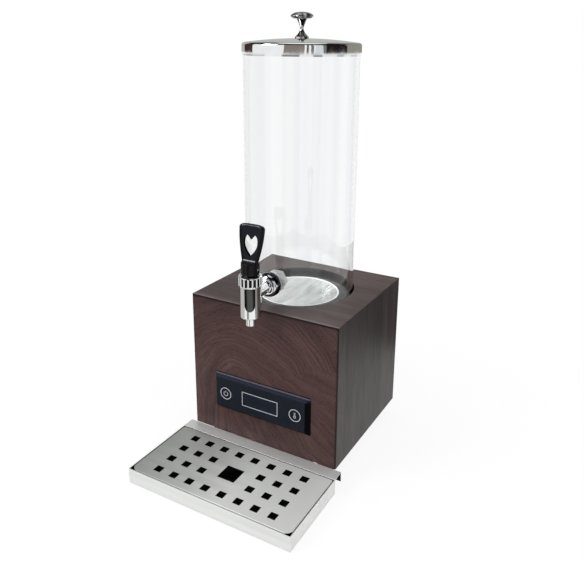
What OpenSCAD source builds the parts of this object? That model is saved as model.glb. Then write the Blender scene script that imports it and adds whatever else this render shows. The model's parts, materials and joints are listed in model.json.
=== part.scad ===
// Electric beverage dispenser: a clear tank with a lever tap stands in a wooden
// cabinet that cools it from below, with a drip tray hooked on in front.
// Millimetres, +Z up. The front faces -Y, and z = 0 is the table.

/* [Cabinet] */
// Width of the cabinet
cabinet_w = 222; // [210:1:260]
// Depth of the cabinet
cabinet_d = 200; // [194:1:240]
// Height of the cabinet without its feet
cabinet_h = 197; // [185:1:230]
// Thickness of the veneered boards
board_t = 12; // [9:0.5:14]
// Chamfer along the outer edges
edge_chamfer = 0.8; // [0.4:0.1:1.5]
// Side of the corner battens
batten_w = 18; // [14:1:20]
// Thickness of the base plate
base_t = 2; // [1.5:0.5:3]

/* [Feet] */
// Height of the feet
foot_h = 21; // [18:1:30]
// Diameter of the feet
foot_d = 26; // [20:1:28]
// Distance of a foot's centre from the cabinet's sides
foot_inset = 26; // [25:0.5:27]

/* [Tank] */
// Outer diameter of the clear tube
tube_od = 150; // [140:1:152]
// Wall of the clear tube
tube_wall = 4; // [3:0.5:5]
// Height of the clear tube
tube_h = 340; // [280:5:400]
// Gap round the tube in the recess
recess_gap = 2; // [1:0.5:3]
// Drop of the tank's seat below the top board
seat_drop = 3; // [2:0.5:5]
// Thickness of the tank's floor ring
floor_t = 8; // [7:0.5:10]
// Diameter of the bright floor plate
floor_plate_d = 112; // [104:1:120]
// Step under the floor plate's rim
floor_step = 4; // [3:0.5:5]

/* [Lid] */
// Gap between the tube and the lid's skirt
lid_gap = 0.5; // [0.4:0.1:1]
// Sheet thickness of the lid
lid_t = 1; // [0.8:0.1:1.5]
// Height of the lid's skirt
lid_skirt_h = 16; // [14:1:20]
// Radius of the lid's shoulder
lid_shoulder_r = 4; // [3:0.5:5]
// Rise of the lid's dome
lid_dome = 5; // [3:0.5:8]
// Thickness of the lid's gasket
gasket_t = 2; // [1.5:0.5:3]
// Diameter of the knob's head
knob_d = 29; // [24:1:34]
// Thickness of the knob's head
knob_head_h = 8.8; // [7:0.2:11]
// Height of the knob
knob_h = 32; // [28:1:40]
// Diameter of the knob's neck
knob_neck_d = 5.6; // [5.2:0.2:8]
// Diameter of the knob's foot
knob_foot_d = 18; // [15:1:22]

/* [Tap] */
// Distance of the tap's axis from the tank's wall
tap_reach = 49; // [45:1:56]
// Height of the tap's shank above the cabinet
shank_rise = 28; // [21:1:36]
// Diameter of the tap's body
tap_d = 27; // [26:0.5:30]
// Depth of the body below the shank's axis
tap_drop = 28; // [26:1:34]
// Rise of the body above the shank's axis
tap_rise = 13; // [11:1:16]
// Diameter of the spout
spout_d = 13; // [11:0.5:15]
// Length of the spout
spout_l = 11.5; // [8:0.5:16]
// Diameter of the shank
shank_d = 18; // [16:0.5:20]
// Diameter of the domed flange
flange_d = 33; // [30:1:38]
// Thickness of the soft washers
washer_t = 3; // [2:0.5:4]
// Height of the scalloped ring nut
ring_h = 13.3; // [12:0.1:16]
// Lobes round the ring nut
ring_lobes = 16; // [12:1:20]
// Radius of the groove down the body's front
groove_r = 12; // [10:0.5:13]
// Depth of the groove
groove_depth = 3.6; // [2.5:0.1:3.8]

/* [Lever] */
// Diameter of the lever's heel
heel_d = 23; // [21:0.5:25]
// Height of the heel
heel_h = 17; // [17:0.5:24]
// Height of the lever's pin above the heel's bottom
pin_h = 8.5; // [8:0.25:10]
// Diameter of the lever's pin
pin_d = 3; // [2.5:0.25:3.5]
// Height of the paddle
paddle_h = 47; // [44:1:56]
// Width of the paddle's neck
paddle_neck_w = 22; // [20:0.5:23]
// Width of the paddle's top
paddle_top_w = 35; // [32:0.5:40]
// Thickness of the paddle
paddle_t = 6; // [5:0.5:8]
// Backward lean of the paddle in degrees
paddle_lean = 7.5; // [4:0.5:12]
// Width of the heart-shaped hole
heart_w = 22; // [18:0.5:23]
// Height of the heart-shaped hole
heart_h = 26; // [22:0.5:28]
// Height of the heart's tip above the neck
heart_rise = 8; // [7:0.5:10]

/* [Control panel] */
// Width of the panel
panel_w = 148.5; // [146:0.5:160]
// Height of the panel
panel_h = 54.5; // [50:0.5:60]
// Distance that the panel stands proud
panel_proud = 6; // [5:0.5:7]
// Height of the panel's centre above the cabinet's bottom
panel_rise = 64; // [50:1:75]
// Width of the display window
window_w = 55.5; // [48:0.5:58]
// Height of the display window
window_h = 20.5; // [18:0.5:24]
// Distance between the buttons
button_pitch = 108; // [104:0.5:110]
// Diameter of the buttons
button_d = 18.5; // [16:0.5:19]
// Travel of the buttons
button_travel = 0.8; // [0.5:0.1:0.9]

/* [Drip tray] */
// Width of the tray
tray_w = 239; // [225:1:270]
// Depth of the tray's pan
tray_d = 112.5; // [104:0.5:130]
// Sheet thickness of the tray and the grille
tray_t = 1; // [0.8:0.1:1.5]
// Depth of the hook strip
strip_d = 17.5; // [15:0.5:22]
// Length of the hook's flange
hook_l = 13.5; // [11:0.5:15]
// Gap round the grille
grille_gap = 1.2; // [0.8:0.1:2]
// Corner radius at the grille's front
grille_corner_r = 9; // [6:0.5:12]
// Side of a grille hole
hole_w = 10.5; // [8:0.5:12]
// Side of the large middle hole
middle_hole_w = 25; // [20:0.5:28]
// Hole pitch across the grille
hole_pitch_x = 24.4; // [22:0.2:26]
// Hole pitch along the grille
hole_pitch_y = 25; // [23:0.2:26]

/* [Cooler] */
// Diameter of the cold plate
cold_d = 100; // [90:1:103]
// Thickness of the cold plate
cold_t = 14; // [10:1:18]
// Side of the thermoelectric module
module_w = 40; // [30:1:50]
// Thickness of the thermoelectric module
module_t = 3.8; // [3:0.1:5]
// Side of the heat sink
sink_w = 120; // [114:1:124]
// Height of the fins
fin_h = 30; // [22:1:34]
// Side of the fan
fan_w = 92; // [80:1:96]
// Height of the fan
fan_h = 25; // [22:1:28]
// Blades of the fan
fan_blades = 7; // [5:1:9]

/* [Electrics] */
// Width of the power supply
supply_w = 110; // [90:1:120]
// Depth of the power supply
supply_d = 70; // [60:1:80]
// Height of the power supply
supply_h = 34; // [28:1:40]
// Width of the rear vent plate
vent_w = 132; // [120:1:150]
// Height of the rear vent plate
vent_h = 72; // [60:1:84]
// Slots in the rear vent plate
vent_slots = 11; // [7:1:13]

/* [Hidden] */
$fn = 64;
tube_fn = 360;
sheet_fit = 0.3;
run_fit = 0.05;
seat_fit = 0.1;
clear_fit = 0.3;
cut = 1;

// Heights from the table up
box_z = foot_h;
top_z = foot_h + cabinet_h;
base_top_z = box_z + base_t;
under_top_z = top_z - board_t;
tank_z = under_top_z - seat_drop;
tube_top_z = tank_z + tube_h;
floor_z = tank_z + floor_t;

// Depths: the cabinet's front face, with the origin in the middle of the outline
rear_proud = 2;
rear_head_h = 1.2;
rear_screw_l = board_t - 2;
tray_back_gap = 0.4;
tray_front = strip_d + tray_d;
front_y = -(cabinet_d + rear_proud - tray_front) / 2;
inner_x = cabinet_w / 2 - board_t;
inner_front = front_y + board_t;
rear_y = front_y + cabinet_d;
inner_rear = rear_y - board_t;
tank_y = front_y + cabinet_d / 2;
tube_r = tube_od / 2;
bore_r = tube_r - tube_wall;
tank_front = tank_y - tube_r;
recess_r = tube_r + recess_gap;

// Middles of the feet, from the tank's axis
foot_x = cabinet_w / 2 - foot_inset;
foot_y = cabinet_d / 2 - foot_inset;
foot_edge = 1.5;
foot_taper = 1;
foot_bore = 6;
head_room = 1;
foot_screw_bite = 14;
foot_screw_l = foot_h - foot_bore + base_t + foot_screw_bite;

// Small screws shared by several places
screw_d = 3;
screw_head_d = 5.6;
screw_head_h = 1.8;
big_screw_d = 4;
big_head_d = 7.6;
big_head_h = 2.4;

// Seat dish and cooler stack, downwards from the tank
dish_rim = 9;
dish_r = recess_r + dish_rim;
dish_t = 3;
dish_screws_n = 6;
cold_r = cold_d / 2;
cold_bottom = tank_z - cold_t;
module_bottom = cold_bottom - module_t;
sink_base_t = 6;
sink_bottom = module_bottom - sink_base_t;
fin_bottom = sink_bottom - fin_h;
fan_bottom = fin_bottom - fan_h;
boss_d = 10;
boss_inset = 7;
boss_at = sink_w / 2 - boss_inset;
boss_top = tank_z - dish_t;
fin_t = 1.6;
fin_pitch = 6;
fin_count = floor(fan_w / fin_pitch);
sink_screw_bite = 10;
sink_screw_l = sink_base_t + sink_screw_bite;
insulation_r = 66;
probe_d = 5;
probe_l = 26;
probe_z = cold_bottom + cold_t / 2;

// Fan
fan_hole_inset = 4.75;
fan_hole_at = fan_w / 2 - fan_hole_inset;
fan_wall = 2.5;
fan_bore_r = fan_w / 2 - fan_wall;
fan_screw_bite = 8;
fan_tip_gap = 1;
hub_r = 17;
hub_wall = 2;
hub_plate_t = 4;
hub_rise = 6;
hub_top_gap = 2;
hub_h = fan_h - hub_rise - hub_top_gap;
shaft_r = 1.5;
bearing_r = 4;
bearing_l = 10;
strut_w = 4;
strut_turn = 20;
blade_t = 1.6;
blade_tilt = 52;
blade_chord = 20;
blade_edge = 1;

// Control panel
panel_z = box_z + panel_rise;
panel_bevel = panel_proud;
face_wall = 2.5;
house_wall = 1.8;
flange_lip = 1;
flange_t = 1.3;
board_h = 28;
pcb_t = 1.6;
pcb_inset = 6;
house_behind = 2;
house_depth = board_t + house_behind;
house_w = button_pitch + button_d + 2 * flange_lip + 4 * clear_fit;
house_h = board_h + 2 * clear_fit;
house_out_w = house_w + 2 * house_wall;
house_out_h = house_h + 2 * house_wall;
opening_w = house_out_w + 2 * sheet_fit;
opening_h = house_out_h + 2 * sheet_fit;
face_y = front_y - panel_proud;
face_back = face_y + face_wall;
pcb_y = front_y + pcb_inset;
lens_t = 1.2;
lens_ledge = 1.5;
post_d = 5;
post_x = (window_w / 2 + button_pitch / 2 - button_d / 2 - flange_lip) / 2;
post_z = 9;
panel_screw_x = 30;
panel_screw_in = 2.6;
panel_screw_z = opening_h / 2 + panel_screw_in;
panel_screw_bite = 3.4;
switch_w = 6;
switch_h = 3.5;
plunger_d = 3.4;
plunger_l = 1;
button_proud = 0.4;
button_stem_d = 5;
display_w = 50;
display_h = 15;

// Rear
vent_rise = 131;
vent_z = box_z + vent_rise;
vent_lap_x = 12;
vent_lap_z = 10;
vent_opening_w = vent_w - 2 * vent_lap_x;
vent_opening_h = vent_h - 2 * vent_lap_z;
vent_margin = 5;
slot_w = 5;
slot_end = 4;
inlet_x = 62;
inlet_rise = 40;
inlet_z = box_z + inlet_rise;
inlet_w = 50;
inlet_h = 23;
inlet_body_w = 27.4;
inlet_body_h = 19.4;
inlet_body_l = 22;
inlet_socket_w = 24.4;
inlet_socket_h = 16.6;
inlet_socket_l = 16;
inlet_screw_x = 20;
blade_w = 4;
pin_blade_t = 2;
blade_l = 12;
tail_l = 6;
blade_pitch = 7;
blade_stagger = 2;
inlet_corner = 4;
blade_back = rear_proud + inlet_body_l - inlet_socket_l;
supply_gap = 2;
supply_x = -(inner_x - batten_w - supply_w / 2 - supply_gap);
supply_y = inner_rear - batten_w - supply_d / 2 - supply_gap;
supply_screw_in = 8;
supply_screw_bite = 5;
terminal_w = 16;
terminal_h = 14;
supply_slots = 7;
supply_slot_pitch = 9;
supply_slot_w = 3;
supply_slot_end = 12;
supply_slot_depth = 2;
intake_slots = 9;
intake_pitch = 9;
intake_l = 60;
intake_inset = 52;
intake_y = inner_front + intake_inset;
terminal_pitch = 9;
terminal_first = 23;

// Tray and grille
tray_h = foot_h;
tray_front_y = front_y - tray_front;
tray_back_y = front_y - strip_d;
hook_y = front_y - tray_back_gap;
grille_w = tray_w - 2 * tray_t - 2 * grille_gap;
grille_d = tray_d - 2 * tray_t - 2 * grille_gap;
grille_y = tray_front_y + tray_d / 2;
grille_back_r = 2;
hole_columns = 8;
hole_rows = 4;
hanger_side_gap = 3;
hanger_w = 2 * (foot_x - foot_d / 2 - hanger_side_gap);
hanger_t = 1.5;
hanger_gap = 1.5;
hanger_lip_top = tray_h - tray_t - clear_fit;
hanger_low = tray_h - hook_l - hanger_gap - hanger_t;
hanger_lip_y = hook_y - tray_t - hanger_gap - hanger_t;
hanger_inset = 12;
hanger_back = inner_front + hanger_inset;
hanger_tab = 16;
hanger_screw_x = 55;
hanger_screw_spare = 4;
hanger_screw_l = hanger_t + base_t + hanger_screw_spare;
grille_h = tray_h - tray_t;

// Tap, from the crossing of its own axis and the shank's axis
tap_y = tank_front - tap_reach;
shank_z = top_z + shank_rise;
tap_r = tap_d / 2;
body_edge_r = 2;
seat_t = 6;
seat_z = seat_t - tap_drop;
chamber_r = 7.5;
spout_wall = 2;
spout_chamfer = 0.6;
spout_z = -tap_drop - spout_l;
outlet_r = spout_d / 2 - spout_wall;
thread_step = 1.5;
neck_r = tap_r - thread_step;
neck_h = 9;
shank_step = 0.5;
neck_shank_r = shank_d / 2 - shank_step;
flange_back = tap_reach - washer_t;
flange_l = 12;
flange_rim_t = 2;
shank_wall = 4;
inlet_r = shank_d / 2 - shank_wall;
washer_inset = 1.5;
washer_r = flange_d / 2 - washer_inset;
inner_washer_rim = 5;
inner_washer_r = shank_d / 2 + inner_washer_rim;
inner_saddle = bore_r - sqrt(bore_r * bore_r - inner_washer_r * inner_washer_r);
inner_flat = tap_reach + tube_wall + inner_saddle + washer_t;
nut_flange_t = 3;
nut_l = 7;
nut_wall = 3.5;
nut_af = shank_d + 2 * nut_wall;
shank_spare = 2;
shank_end = inner_flat + nut_flange_t + nut_l + shank_spare;
ring_gap = 0.2;
ring_bottom = tap_rise + ring_gap;
ring_top = ring_bottom + ring_h;
ring_proud = 0.1;
ring_core_r = tap_r + ring_proud;
lobe_r = 1.9;
lobe_sink = 0.5;
lobe_at = ring_core_r - lobe_sink;
lobe_inset = 0.8;
lip_t = 2.5;
lip_lap = 1;
bonnet_r = neck_r - lip_lap;
bonnet_flange_t = ring_top - lip_t - tap_rise - neck_h;
sleeve_r = 5;
sleeve_l = 8;
stem_r = 3;
eye_r = 4;
eye_w = 8;
collar_r = 5;
collar_t = 1.5;
collar_rise = 10;
collar_z = seat_z + collar_rise;
plug_r = 6.3;
plug_h = 6;
stub_r = 2;
stub_l = 4;
plug_top = seat_z + plug_h;
wire_d = 0.9;
coil_r = 4.4;
coil_turns = 7;
heel_gap = 0.3;
heel_z = ring_top + heel_gap;
pin_z = heel_z + pin_h;
heel_edge_r = 2.5;
heel_top_r = 1;
pin_inset = 0.3;
slot_gap = 0.5;
heel_sweep = 35;
groove_foot = 11;
groove_at = tap_r + groove_r - groove_depth;
groove_low = groove_foot - tap_drop;
groove_end = groove_low + sqrt(groove_r * groove_r - pow(groove_at - tap_r, 2));
paddle_crown = 4.9;
paddle_flare_h = 42.6;
heart_steps = 36;

// Lid and knob
lid_r = tube_r + lid_gap + lid_t;
lid_inner_r = lid_shoulder_r - lid_t;
lid_overhang = tube_r - lid_r + lid_shoulder_r;
lid_sag = lid_inner_r - sqrt(lid_inner_r * lid_inner_r - lid_overhang * lid_overhang);
lid_under_z = tube_top_z + gasket_t + lid_sag;
lid_rim_z = lid_under_z + lid_t;
lid_skirt_z = lid_rim_z - lid_skirt_h;
lid_top_z = lid_rim_z + lid_dome;
knob_hole_r = 2.1;
knob_bore_l = 12;
knob_screw_r = 2;
knob_rim_drop = 4.8;
knob_flare_h = 14.7;
knob_foot_t = 1.5;
knob_flare = 2.6;
knob_neck_swell = 2.2;
knob_under_swell = 4;
gasket_inset = 0.5;
arc_steps = 10;

// Finishes
walnut = [0.25, 0.17, 0.15];
steel = [0.80, 0.80, 0.79];
chrome = [0.86, 0.87, 0.88];
black = [0.05, 0.05, 0.06];
clear = [0.92, 0.95, 0.96, 0.25];
foam = [0.20, 0.20, 0.21];
aluminium = [0.75, 0.76, 0.77];
silicone = [0.90, 0.90, 0.90, 0.7];

// Shared shapes

// A pan head screw: the head sits below z = 0 and the shank points up
module screw(d, head_d, head_h, length) {
    translate([0, 0, -head_h])
        cylinder(d = head_d, h = head_h);
    translate([0, 0, -head_h / 2])
        cylinder(d = d, h = length + head_h / 2);
}

// The hole that a screw's shank runs in
module screw_hole(d, length) {
    translate([0, 0, -cut])
        cylinder(d = d + 2 * run_fit, h = length + cut);
}

// A hole right through along z, centred on z = 0
module through_hole(d, length) {
    cylinder(d = d, h = 2 * length, center = true);
}

// Children at the four corners of a rectangle
module at_corners(x, y) {
    for (sx = [-1, 1])
        for (sy = [-1, 1])
            translate([sx * x, sy * y, 0])
                children();
}

// Children turned so that their z axis points along +Y
module along_y() {
    rotate([-90, 0, 0])
        children();
}

// Children at the crossing of the tap's axis and the shank's axis
module at_tap() {
    translate([0, tap_y, shank_z])
        children();
}

// Children on the tank's axis
module at_tank(z) {
    translate([0, tank_y, z])
        children();
}

// A block with a given middle in x and y and its bottom at z = 0
module block(w, d, h) {
    translate([-w / 2, -d / 2, 0])
        cube([w, d, h]);
}

// A block that fills the cabinet's inside from wall to wall with a sheet's clearance
module inside_block(h) {
    block(2 * (inner_x - sheet_fit), cabinet_d - 2 * board_t - 2 * sheet_fit, h);
}

// A ring with its bottom at z = 0
module ring(outer_r, inner_r, h) {
    difference() {
        cylinder(r = outer_r, h = h);
        translate([0, 0, -cut])
            cylinder(r = inner_r, h = h + 2 * cut);
    }
}

// Points on an arc, for outlines
function arc_points(cx, cy, r, from, to, steps = arc_steps) =
    [for (i = [0:steps]) let (a = from + (to - from) * i / steps) [cx + r * cos(a), cy + r * sin(a)]];

// Cabinet

// A wall board with mitred ends and a mitred top: the outer face is at y = 0
module wall_board(length) {
    half = length / 2;
    c = edge_chamfer;
    intersection() {
        linear_extrude(height = top_z + cut)
            polygon([[-half + c, 0], [half - c, 0], [half - c / 2, c / 2], [half - board_t, board_t],
                [-half + board_t, board_t], [-half + c / 2, c / 2]]);
        rotate([90, 0, 90])
            linear_extrude(height = length, center = true)
                polygon([[0, box_z], [board_t, box_z], [board_t, under_top_z],
                    [c / 2, top_z - c / 2], [0, top_z - c]]);
    }
}

// Places of the screws that hold the panel
module at_panel_screws() {
    for (sx = [-1, 1])
        for (sz = [-1, 1])
            translate([sx * panel_screw_x, inner_front, panel_z + sz * panel_screw_z])
                rotate([90, 0, 0])
                    children();
}

module front_board() {
    color(walnut)
        difference() {
            translate([0, front_y, 0])
                wall_board(cabinet_w);
            translate([0, front_y, panel_z])
                cube([opening_w, 4 * board_t, opening_h], center = true);
            at_panel_screws()
                screw_hole(screw_d, board_t + cut);
        }
}

// Places of the screws in the rear board: the inlet's, then the vent's
module at_rear_screws() {
    for (sx = [-1, 1])
        translate([inlet_x + sx * inlet_screw_x, rear_y + rear_proud - rear_head_h, inlet_z])
            rotate([90, 0, 0])
                children();
    for (sx = [-1, 1])
        for (sz = [-1, 1])
            translate([sx * (vent_w / 2 - vent_margin), rear_y + rear_proud - rear_head_h,
                vent_z + sz * (vent_h / 2 - vent_margin)])
                rotate([90, 0, 0])
                    children();
}

// The hole of a rear screw with a recess for its head
module rear_screw_hole() {
    screw_hole(screw_d, rear_screw_l + cut);
    translate([0, 0, -rear_head_h - cut])
        cylinder(d = screw_head_d + 2 * run_fit, h = rear_head_h + cut);
}

module rear_board() {
    color(walnut)
        difference() {
            translate([0, rear_y, 0])
                rotate(180)
                    wall_board(cabinet_w);
            translate([0, rear_y, vent_z])
                cube([vent_opening_w, 4 * board_t, vent_opening_h], center = true);
            translate([inlet_x, rear_y, inlet_z])
                cube([inlet_body_w + 2 * sheet_fit, 4 * board_t, inlet_body_h + 2 * sheet_fit],
                    center = true);
            at_rear_screws()
                rear_screw_hole();
        }
}

module left_board() {
    color(walnut)
        translate([-cabinet_w / 2, tank_y, 0])
            rotate(-90)
                wall_board(cabinet_d);
}

module right_board() {
    color(walnut)
        translate([cabinet_w / 2, tank_y, 0])
            rotate(90)
                wall_board(cabinet_d);
}

// Outline of the top board across one direction
module top_outline(length) {
    half = length / 2;
    c = edge_chamfer;
    polygon([[-half + c / 2, top_z - c / 2], [-half + c, top_z], [half - c, top_z],
        [half - c / 2, top_z - c / 2], [half - board_t, under_top_z], [-half + board_t, under_top_z]]);
}

// Places of the screws that hold the seat dish
module at_dish_screws() {
    for (i = [0:dish_screws_n - 1])
        at_tank(boss_top)
            rotate(i * 360 / dish_screws_n)
                translate([recess_r + dish_rim / 2, 0, 0])
                    children();
}

dish_screw_l = dish_t + seat_drop + board_t / 2;

module top_board() {
    color(walnut)
        difference() {
            translate([0, tank_y, 0])
                intersection() {
                    rotate([90, 0, 0])
                        linear_extrude(height = cabinet_d, center = true)
                            top_outline(cabinet_w);
                    rotate([90, 0, 90])
                        linear_extrude(height = cabinet_w, center = true)
                            top_outline(cabinet_d);
                }
            at_tank(top_z)
                through_hole(2 * recess_r, 2 * board_t);
            at_dish_screws()
                screw_hole(screw_d, dish_screw_l + cut / 2);
        }
}

// Places of the foot screws, on the tank's axis plane
module at_feet(z) {
    at_tank(z)
        at_corners(foot_x, foot_y)
            children();
}

module corner_battens() {
    color([0.72, 0.58, 0.42])
        difference() {
            at_tank(base_top_z)
                at_corners(inner_x - batten_w / 2, cabinet_d / 2 - board_t - batten_w / 2)
                    block(batten_w, batten_w, under_top_z - base_top_z);
            at_feet(foot_bore)
                screw_hole(big_screw_d, foot_screw_l + cut);
        }
}

module base_plate() {
    color(steel)
        difference() {
            at_tank(box_z)
                inside_block(base_t);
            at_feet(foot_bore)
                screw_hole(big_screw_d, foot_screw_l);
            for (i = [0:intake_slots - 1])
                translate([(i - (intake_slots - 1) / 2) * intake_pitch, intake_y, box_z])
                    cube([slot_w, intake_l, 4 * base_t], center = true);
            at_hanger_screws()
                screw_hole(screw_d, hanger_t + base_t + cut);
            at_supply_screws(box_z)
                screw_hole(screw_d, base_t + cut);
        }
}

module feet() {
    color(black)
        difference() {
            at_feet(0)
                rotate_extrude()
                    polygon([[0, 0], [foot_d / 2 - foot_taper - foot_edge, 0],
                        [foot_d / 2 - foot_taper, foot_edge], [foot_d / 2, foot_h], [0, foot_h]]);
            at_feet(0)
                cylinder(d = big_head_d + 2 * head_room, h = 2 * foot_bore, center = true);
            at_feet(foot_bore)
                screw_hole(big_screw_d, foot_h);
        }
}

module foot_screws() {
    color(steel)
        at_feet(foot_bore)
            screw(big_screw_d, big_head_d, big_head_h, foot_screw_l);
}

// Tray hanger

// Places of the hanger screws, under the hanger's tab
module at_hanger_screws() {
    for (sx = [-1, 0, 1])
        translate([sx * hanger_screw_x, hanger_back + hanger_tab / 2, box_z - hanger_t])
            children();
}

// A bent strip: a tab under the base plate, a drop, a reach forward and an upturned lip
module tray_hanger() {
    color(steel)
        difference() {
            rotate([90, 0, 90])
                linear_extrude(height = hanger_w, center = true)
                    polygon([[hanger_back + hanger_tab, box_z],
                        [hanger_back + hanger_tab, box_z - hanger_t],
                        [hanger_back + hanger_t, box_z - hanger_t], [hanger_back + hanger_t, hanger_low],
                        [hanger_lip_y, hanger_low], [hanger_lip_y, hanger_lip_top],
                        [hanger_lip_y + hanger_t, hanger_lip_top],
                        [hanger_lip_y + hanger_t, hanger_low + hanger_t],
                        [hanger_back, hanger_low + hanger_t], [hanger_back, box_z]]);
            at_hanger_screws()
                screw_hole(screw_d, hanger_t + cut);
        }
}

module hanger_screws() {
    color(steel)
        at_hanger_screws()
            screw(screw_d, screw_head_d, screw_head_h, hanger_screw_l);
}

// Seat and cooler

// Places of the heat sink's screws
module at_bosses(z) {
    at_tank(z)
        at_corners(boss_at, boss_at)
            children();
}

module seat_dish() {
    color(black)
        difference() {
            union() {
                intersection() {
                    union() {
                        at_tank(boss_top)
                            ring(dish_r, cold_r + clear_fit, dish_t);
                        at_tank(tank_z)
                            ring(dish_r, recess_r + seat_fit, seat_drop);
                    }
                    at_tank(module_bottom)
                        inside_block(under_top_z - module_bottom);
                }
                at_bosses(module_bottom)
                    cylinder(d = boss_d, h = boss_top - module_bottom);
            }
            at_dish_screws()
                screw_hole(screw_d, dish_screw_l);
            at_bosses(sink_bottom)
                screw_hole(big_screw_d, sink_screw_l + cut);
        }
}

module dish_screws() {
    color(steel)
        at_dish_screws()
            screw(screw_d, screw_head_d, screw_head_h, dish_screw_l);
}

// Place of the probe: its tip lies inside the cold plate, its tail points right
module at_probe() {
    at_tank(probe_z)
        translate([cold_r - probe_l + lead_end, 0, 0])
            rotate([0, 90, 0])
                children();
}

module cold_plate() {
    color(aluminium)
        difference() {
            at_tank(cold_bottom)
                cylinder(r = cold_r, h = cold_t - seat_fit);
            at_probe()
                cylinder(d = probe_d + 2 * run_fit, h = 2 * probe_l);
        }
}

module insulation_ring() {
    color(foam)
        difference() {
            union() {
                at_tank(module_bottom)
                    cylinder(r = insulation_r, h = module_t - seat_fit);
                at_tank(cold_bottom - seat_fit)
                    ring(insulation_r, cold_r + seat_fit, boss_top - cold_bottom);
            }
            at_tank(module_bottom)
                cube([module_w + 2 * seat_fit, module_w + 2 * seat_fit, 4 * module_t], center = true);
            at_bosses(module_bottom)
                through_hole(boss_d + 2 * seat_fit, 2 * cold_t);
            at_probe()
                cylinder(d = probe_d + 2 * run_fit, h = 2 * insulation_r);
            for (side = [-1, 1])
                translate([side * lead_x, tank_y, lead_z])
                    rotate([90, 0, 0])
                        cylinder(d = lead_d + 2 * seat_fit, h = 2 * insulation_r);
        }
}

module peltier_module() {
    color([0.93, 0.93, 0.90])
        at_tank(module_bottom)
            block(module_w, module_w, module_t);
}

module heat_sink() {
    color(aluminium)
        difference() {
            union() {
                at_tank(sink_bottom)
                    block(sink_w, sink_w, sink_base_t);
                for (i = [0:fin_count - 1])
                    at_tank(fin_bottom)
                        translate([(i - (fin_count - 1) / 2) * fin_pitch, 0, 0])
                            block(fin_t, sink_w, fin_h + cut);
            }
            at_bosses(sink_bottom)
                screw_hole(big_screw_d, sink_base_t + cut);
            at_tank(fin_bottom)
                at_corners(fan_hole_at, fan_hole_at)
                    screw_hole(screw_d, fan_screw_bite + cut);
        }
}

module sink_screws() {
    color(steel)
        at_bosses(sink_bottom)
            screw(big_screw_d, big_head_d, big_head_h, sink_screw_l);
}

module fan_frame() {
    color(black)
        at_tank(fan_bottom) {
            difference() {
                block(fan_w, fan_w, fan_h);
                through_hole(2 * fan_bore_r, 2 * fan_h);
                at_corners(fan_hole_at, fan_hole_at)
                    screw_hole(screw_d, fan_h + cut);
            }
            difference() {
                union() {
                    cylinder(r = hub_r - hub_wall, h = hub_plate_t);
                    cylinder(r = bearing_r, h = hub_plate_t + bearing_l);
                    intersection() {
                        cylinder(r = fan_bore_r + cut, h = hub_plate_t);
                        for (i = [0, 90])
                            rotate(i + strut_turn)
                                block(2 * fan_w, strut_w, hub_plate_t);
                    }
                }
                translate([0, 0, hub_plate_t / 2])
                    cylinder(r = shaft_r + run_fit, h = fan_h);
            }
        }
}

// A hub cup with a shaft and tilted blades
module fan_rotor() {
    color([0.10, 0.10, 0.11])
        at_tank(fan_bottom) {
            translate([0, 0, hub_rise]) {
                difference() {
                    cylinder(r = hub_r, h = hub_h);
                    translate([0, 0, -cut])
                        cylinder(r = hub_r - hub_wall, h = hub_h - hub_wall + cut);
                }
                translate([0, 0, -hub_rise + hub_plate_t / 2 + seat_fit])
                    cylinder(r = shaft_r, h = hub_h + hub_rise - hub_plate_t / 2 - hub_wall / 2);
                intersection() {
                    translate([0, 0, blade_edge])
                        ring(fan_bore_r - fan_tip_gap, hub_r - hub_wall / 2, hub_h - 2 * blade_edge);
                    for (i = [0:fan_blades - 1])
                        rotate(i * 360 / fan_blades)
                            translate([fan_bore_r / 2, 0, hub_h / 2])
                                rotate([blade_tilt, 0, 0])
                                    cube([fan_bore_r, blade_t, blade_chord], center = true);
                }
            }
        }
}

module fan_screws() {
    color(steel)
        at_tank(fan_bottom)
            at_corners(fan_hole_at, fan_hole_at)
                screw(screw_d, screw_head_d, screw_head_h, fan_h + fan_screw_bite);
}

module temp_probe() {
    color(steel)
        at_probe() {
            translate([0, 0, seat_fit])
                cylinder(d = probe_d, h = probe_l);
        }
}

// Electrics

// Places of the screws that hold the power supply
module at_supply_screws(z) {
    translate([supply_x, supply_y, z])
        at_corners(supply_w / 2 - supply_screw_in, supply_d / 2 - supply_screw_in)
            children();
}

// A folded case with a terminal block at its right end
module power_supply() {
    color(aluminium)
        difference() {
            translate([supply_x, supply_y, base_top_z])
                block(supply_w, supply_d, supply_h);
            translate([supply_x + supply_w / 2, supply_y, base_top_z + terminal_h + supply_h / 2])
                cube([2 * terminal_w, supply_d + cut, supply_h], center = true);
            for (i = [0:supply_slots - 1])
                translate([supply_x - terminal_w / 2 + (i - (supply_slots - 1) / 2) * supply_slot_pitch,
                    supply_y, base_top_z + supply_h])
                    cube([supply_slot_w, supply_d - 2 * supply_slot_end, 2 * supply_slot_depth],
                        center = true);
            at_supply_screws(base_top_z)
                screw_hole(screw_d, supply_screw_bite + cut);
        }
}

module supply_screws() {
    color(steel)
        at_supply_screws(box_z)
            screw(screw_d, screw_head_d, screw_head_h, base_t + supply_screw_bite);
}

// Children at the middle of the mains inlet's outer face, with z pointing into the cabinet
module at_inlet() {
    translate([inlet_x, rear_y + rear_proud, inlet_z])
        rotate([90, 0, 0])
            children();
}

// The middle blade sits above the outer two
function blade_offset(i) = i == 0 ? blade_stagger : -blade_stagger;

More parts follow.
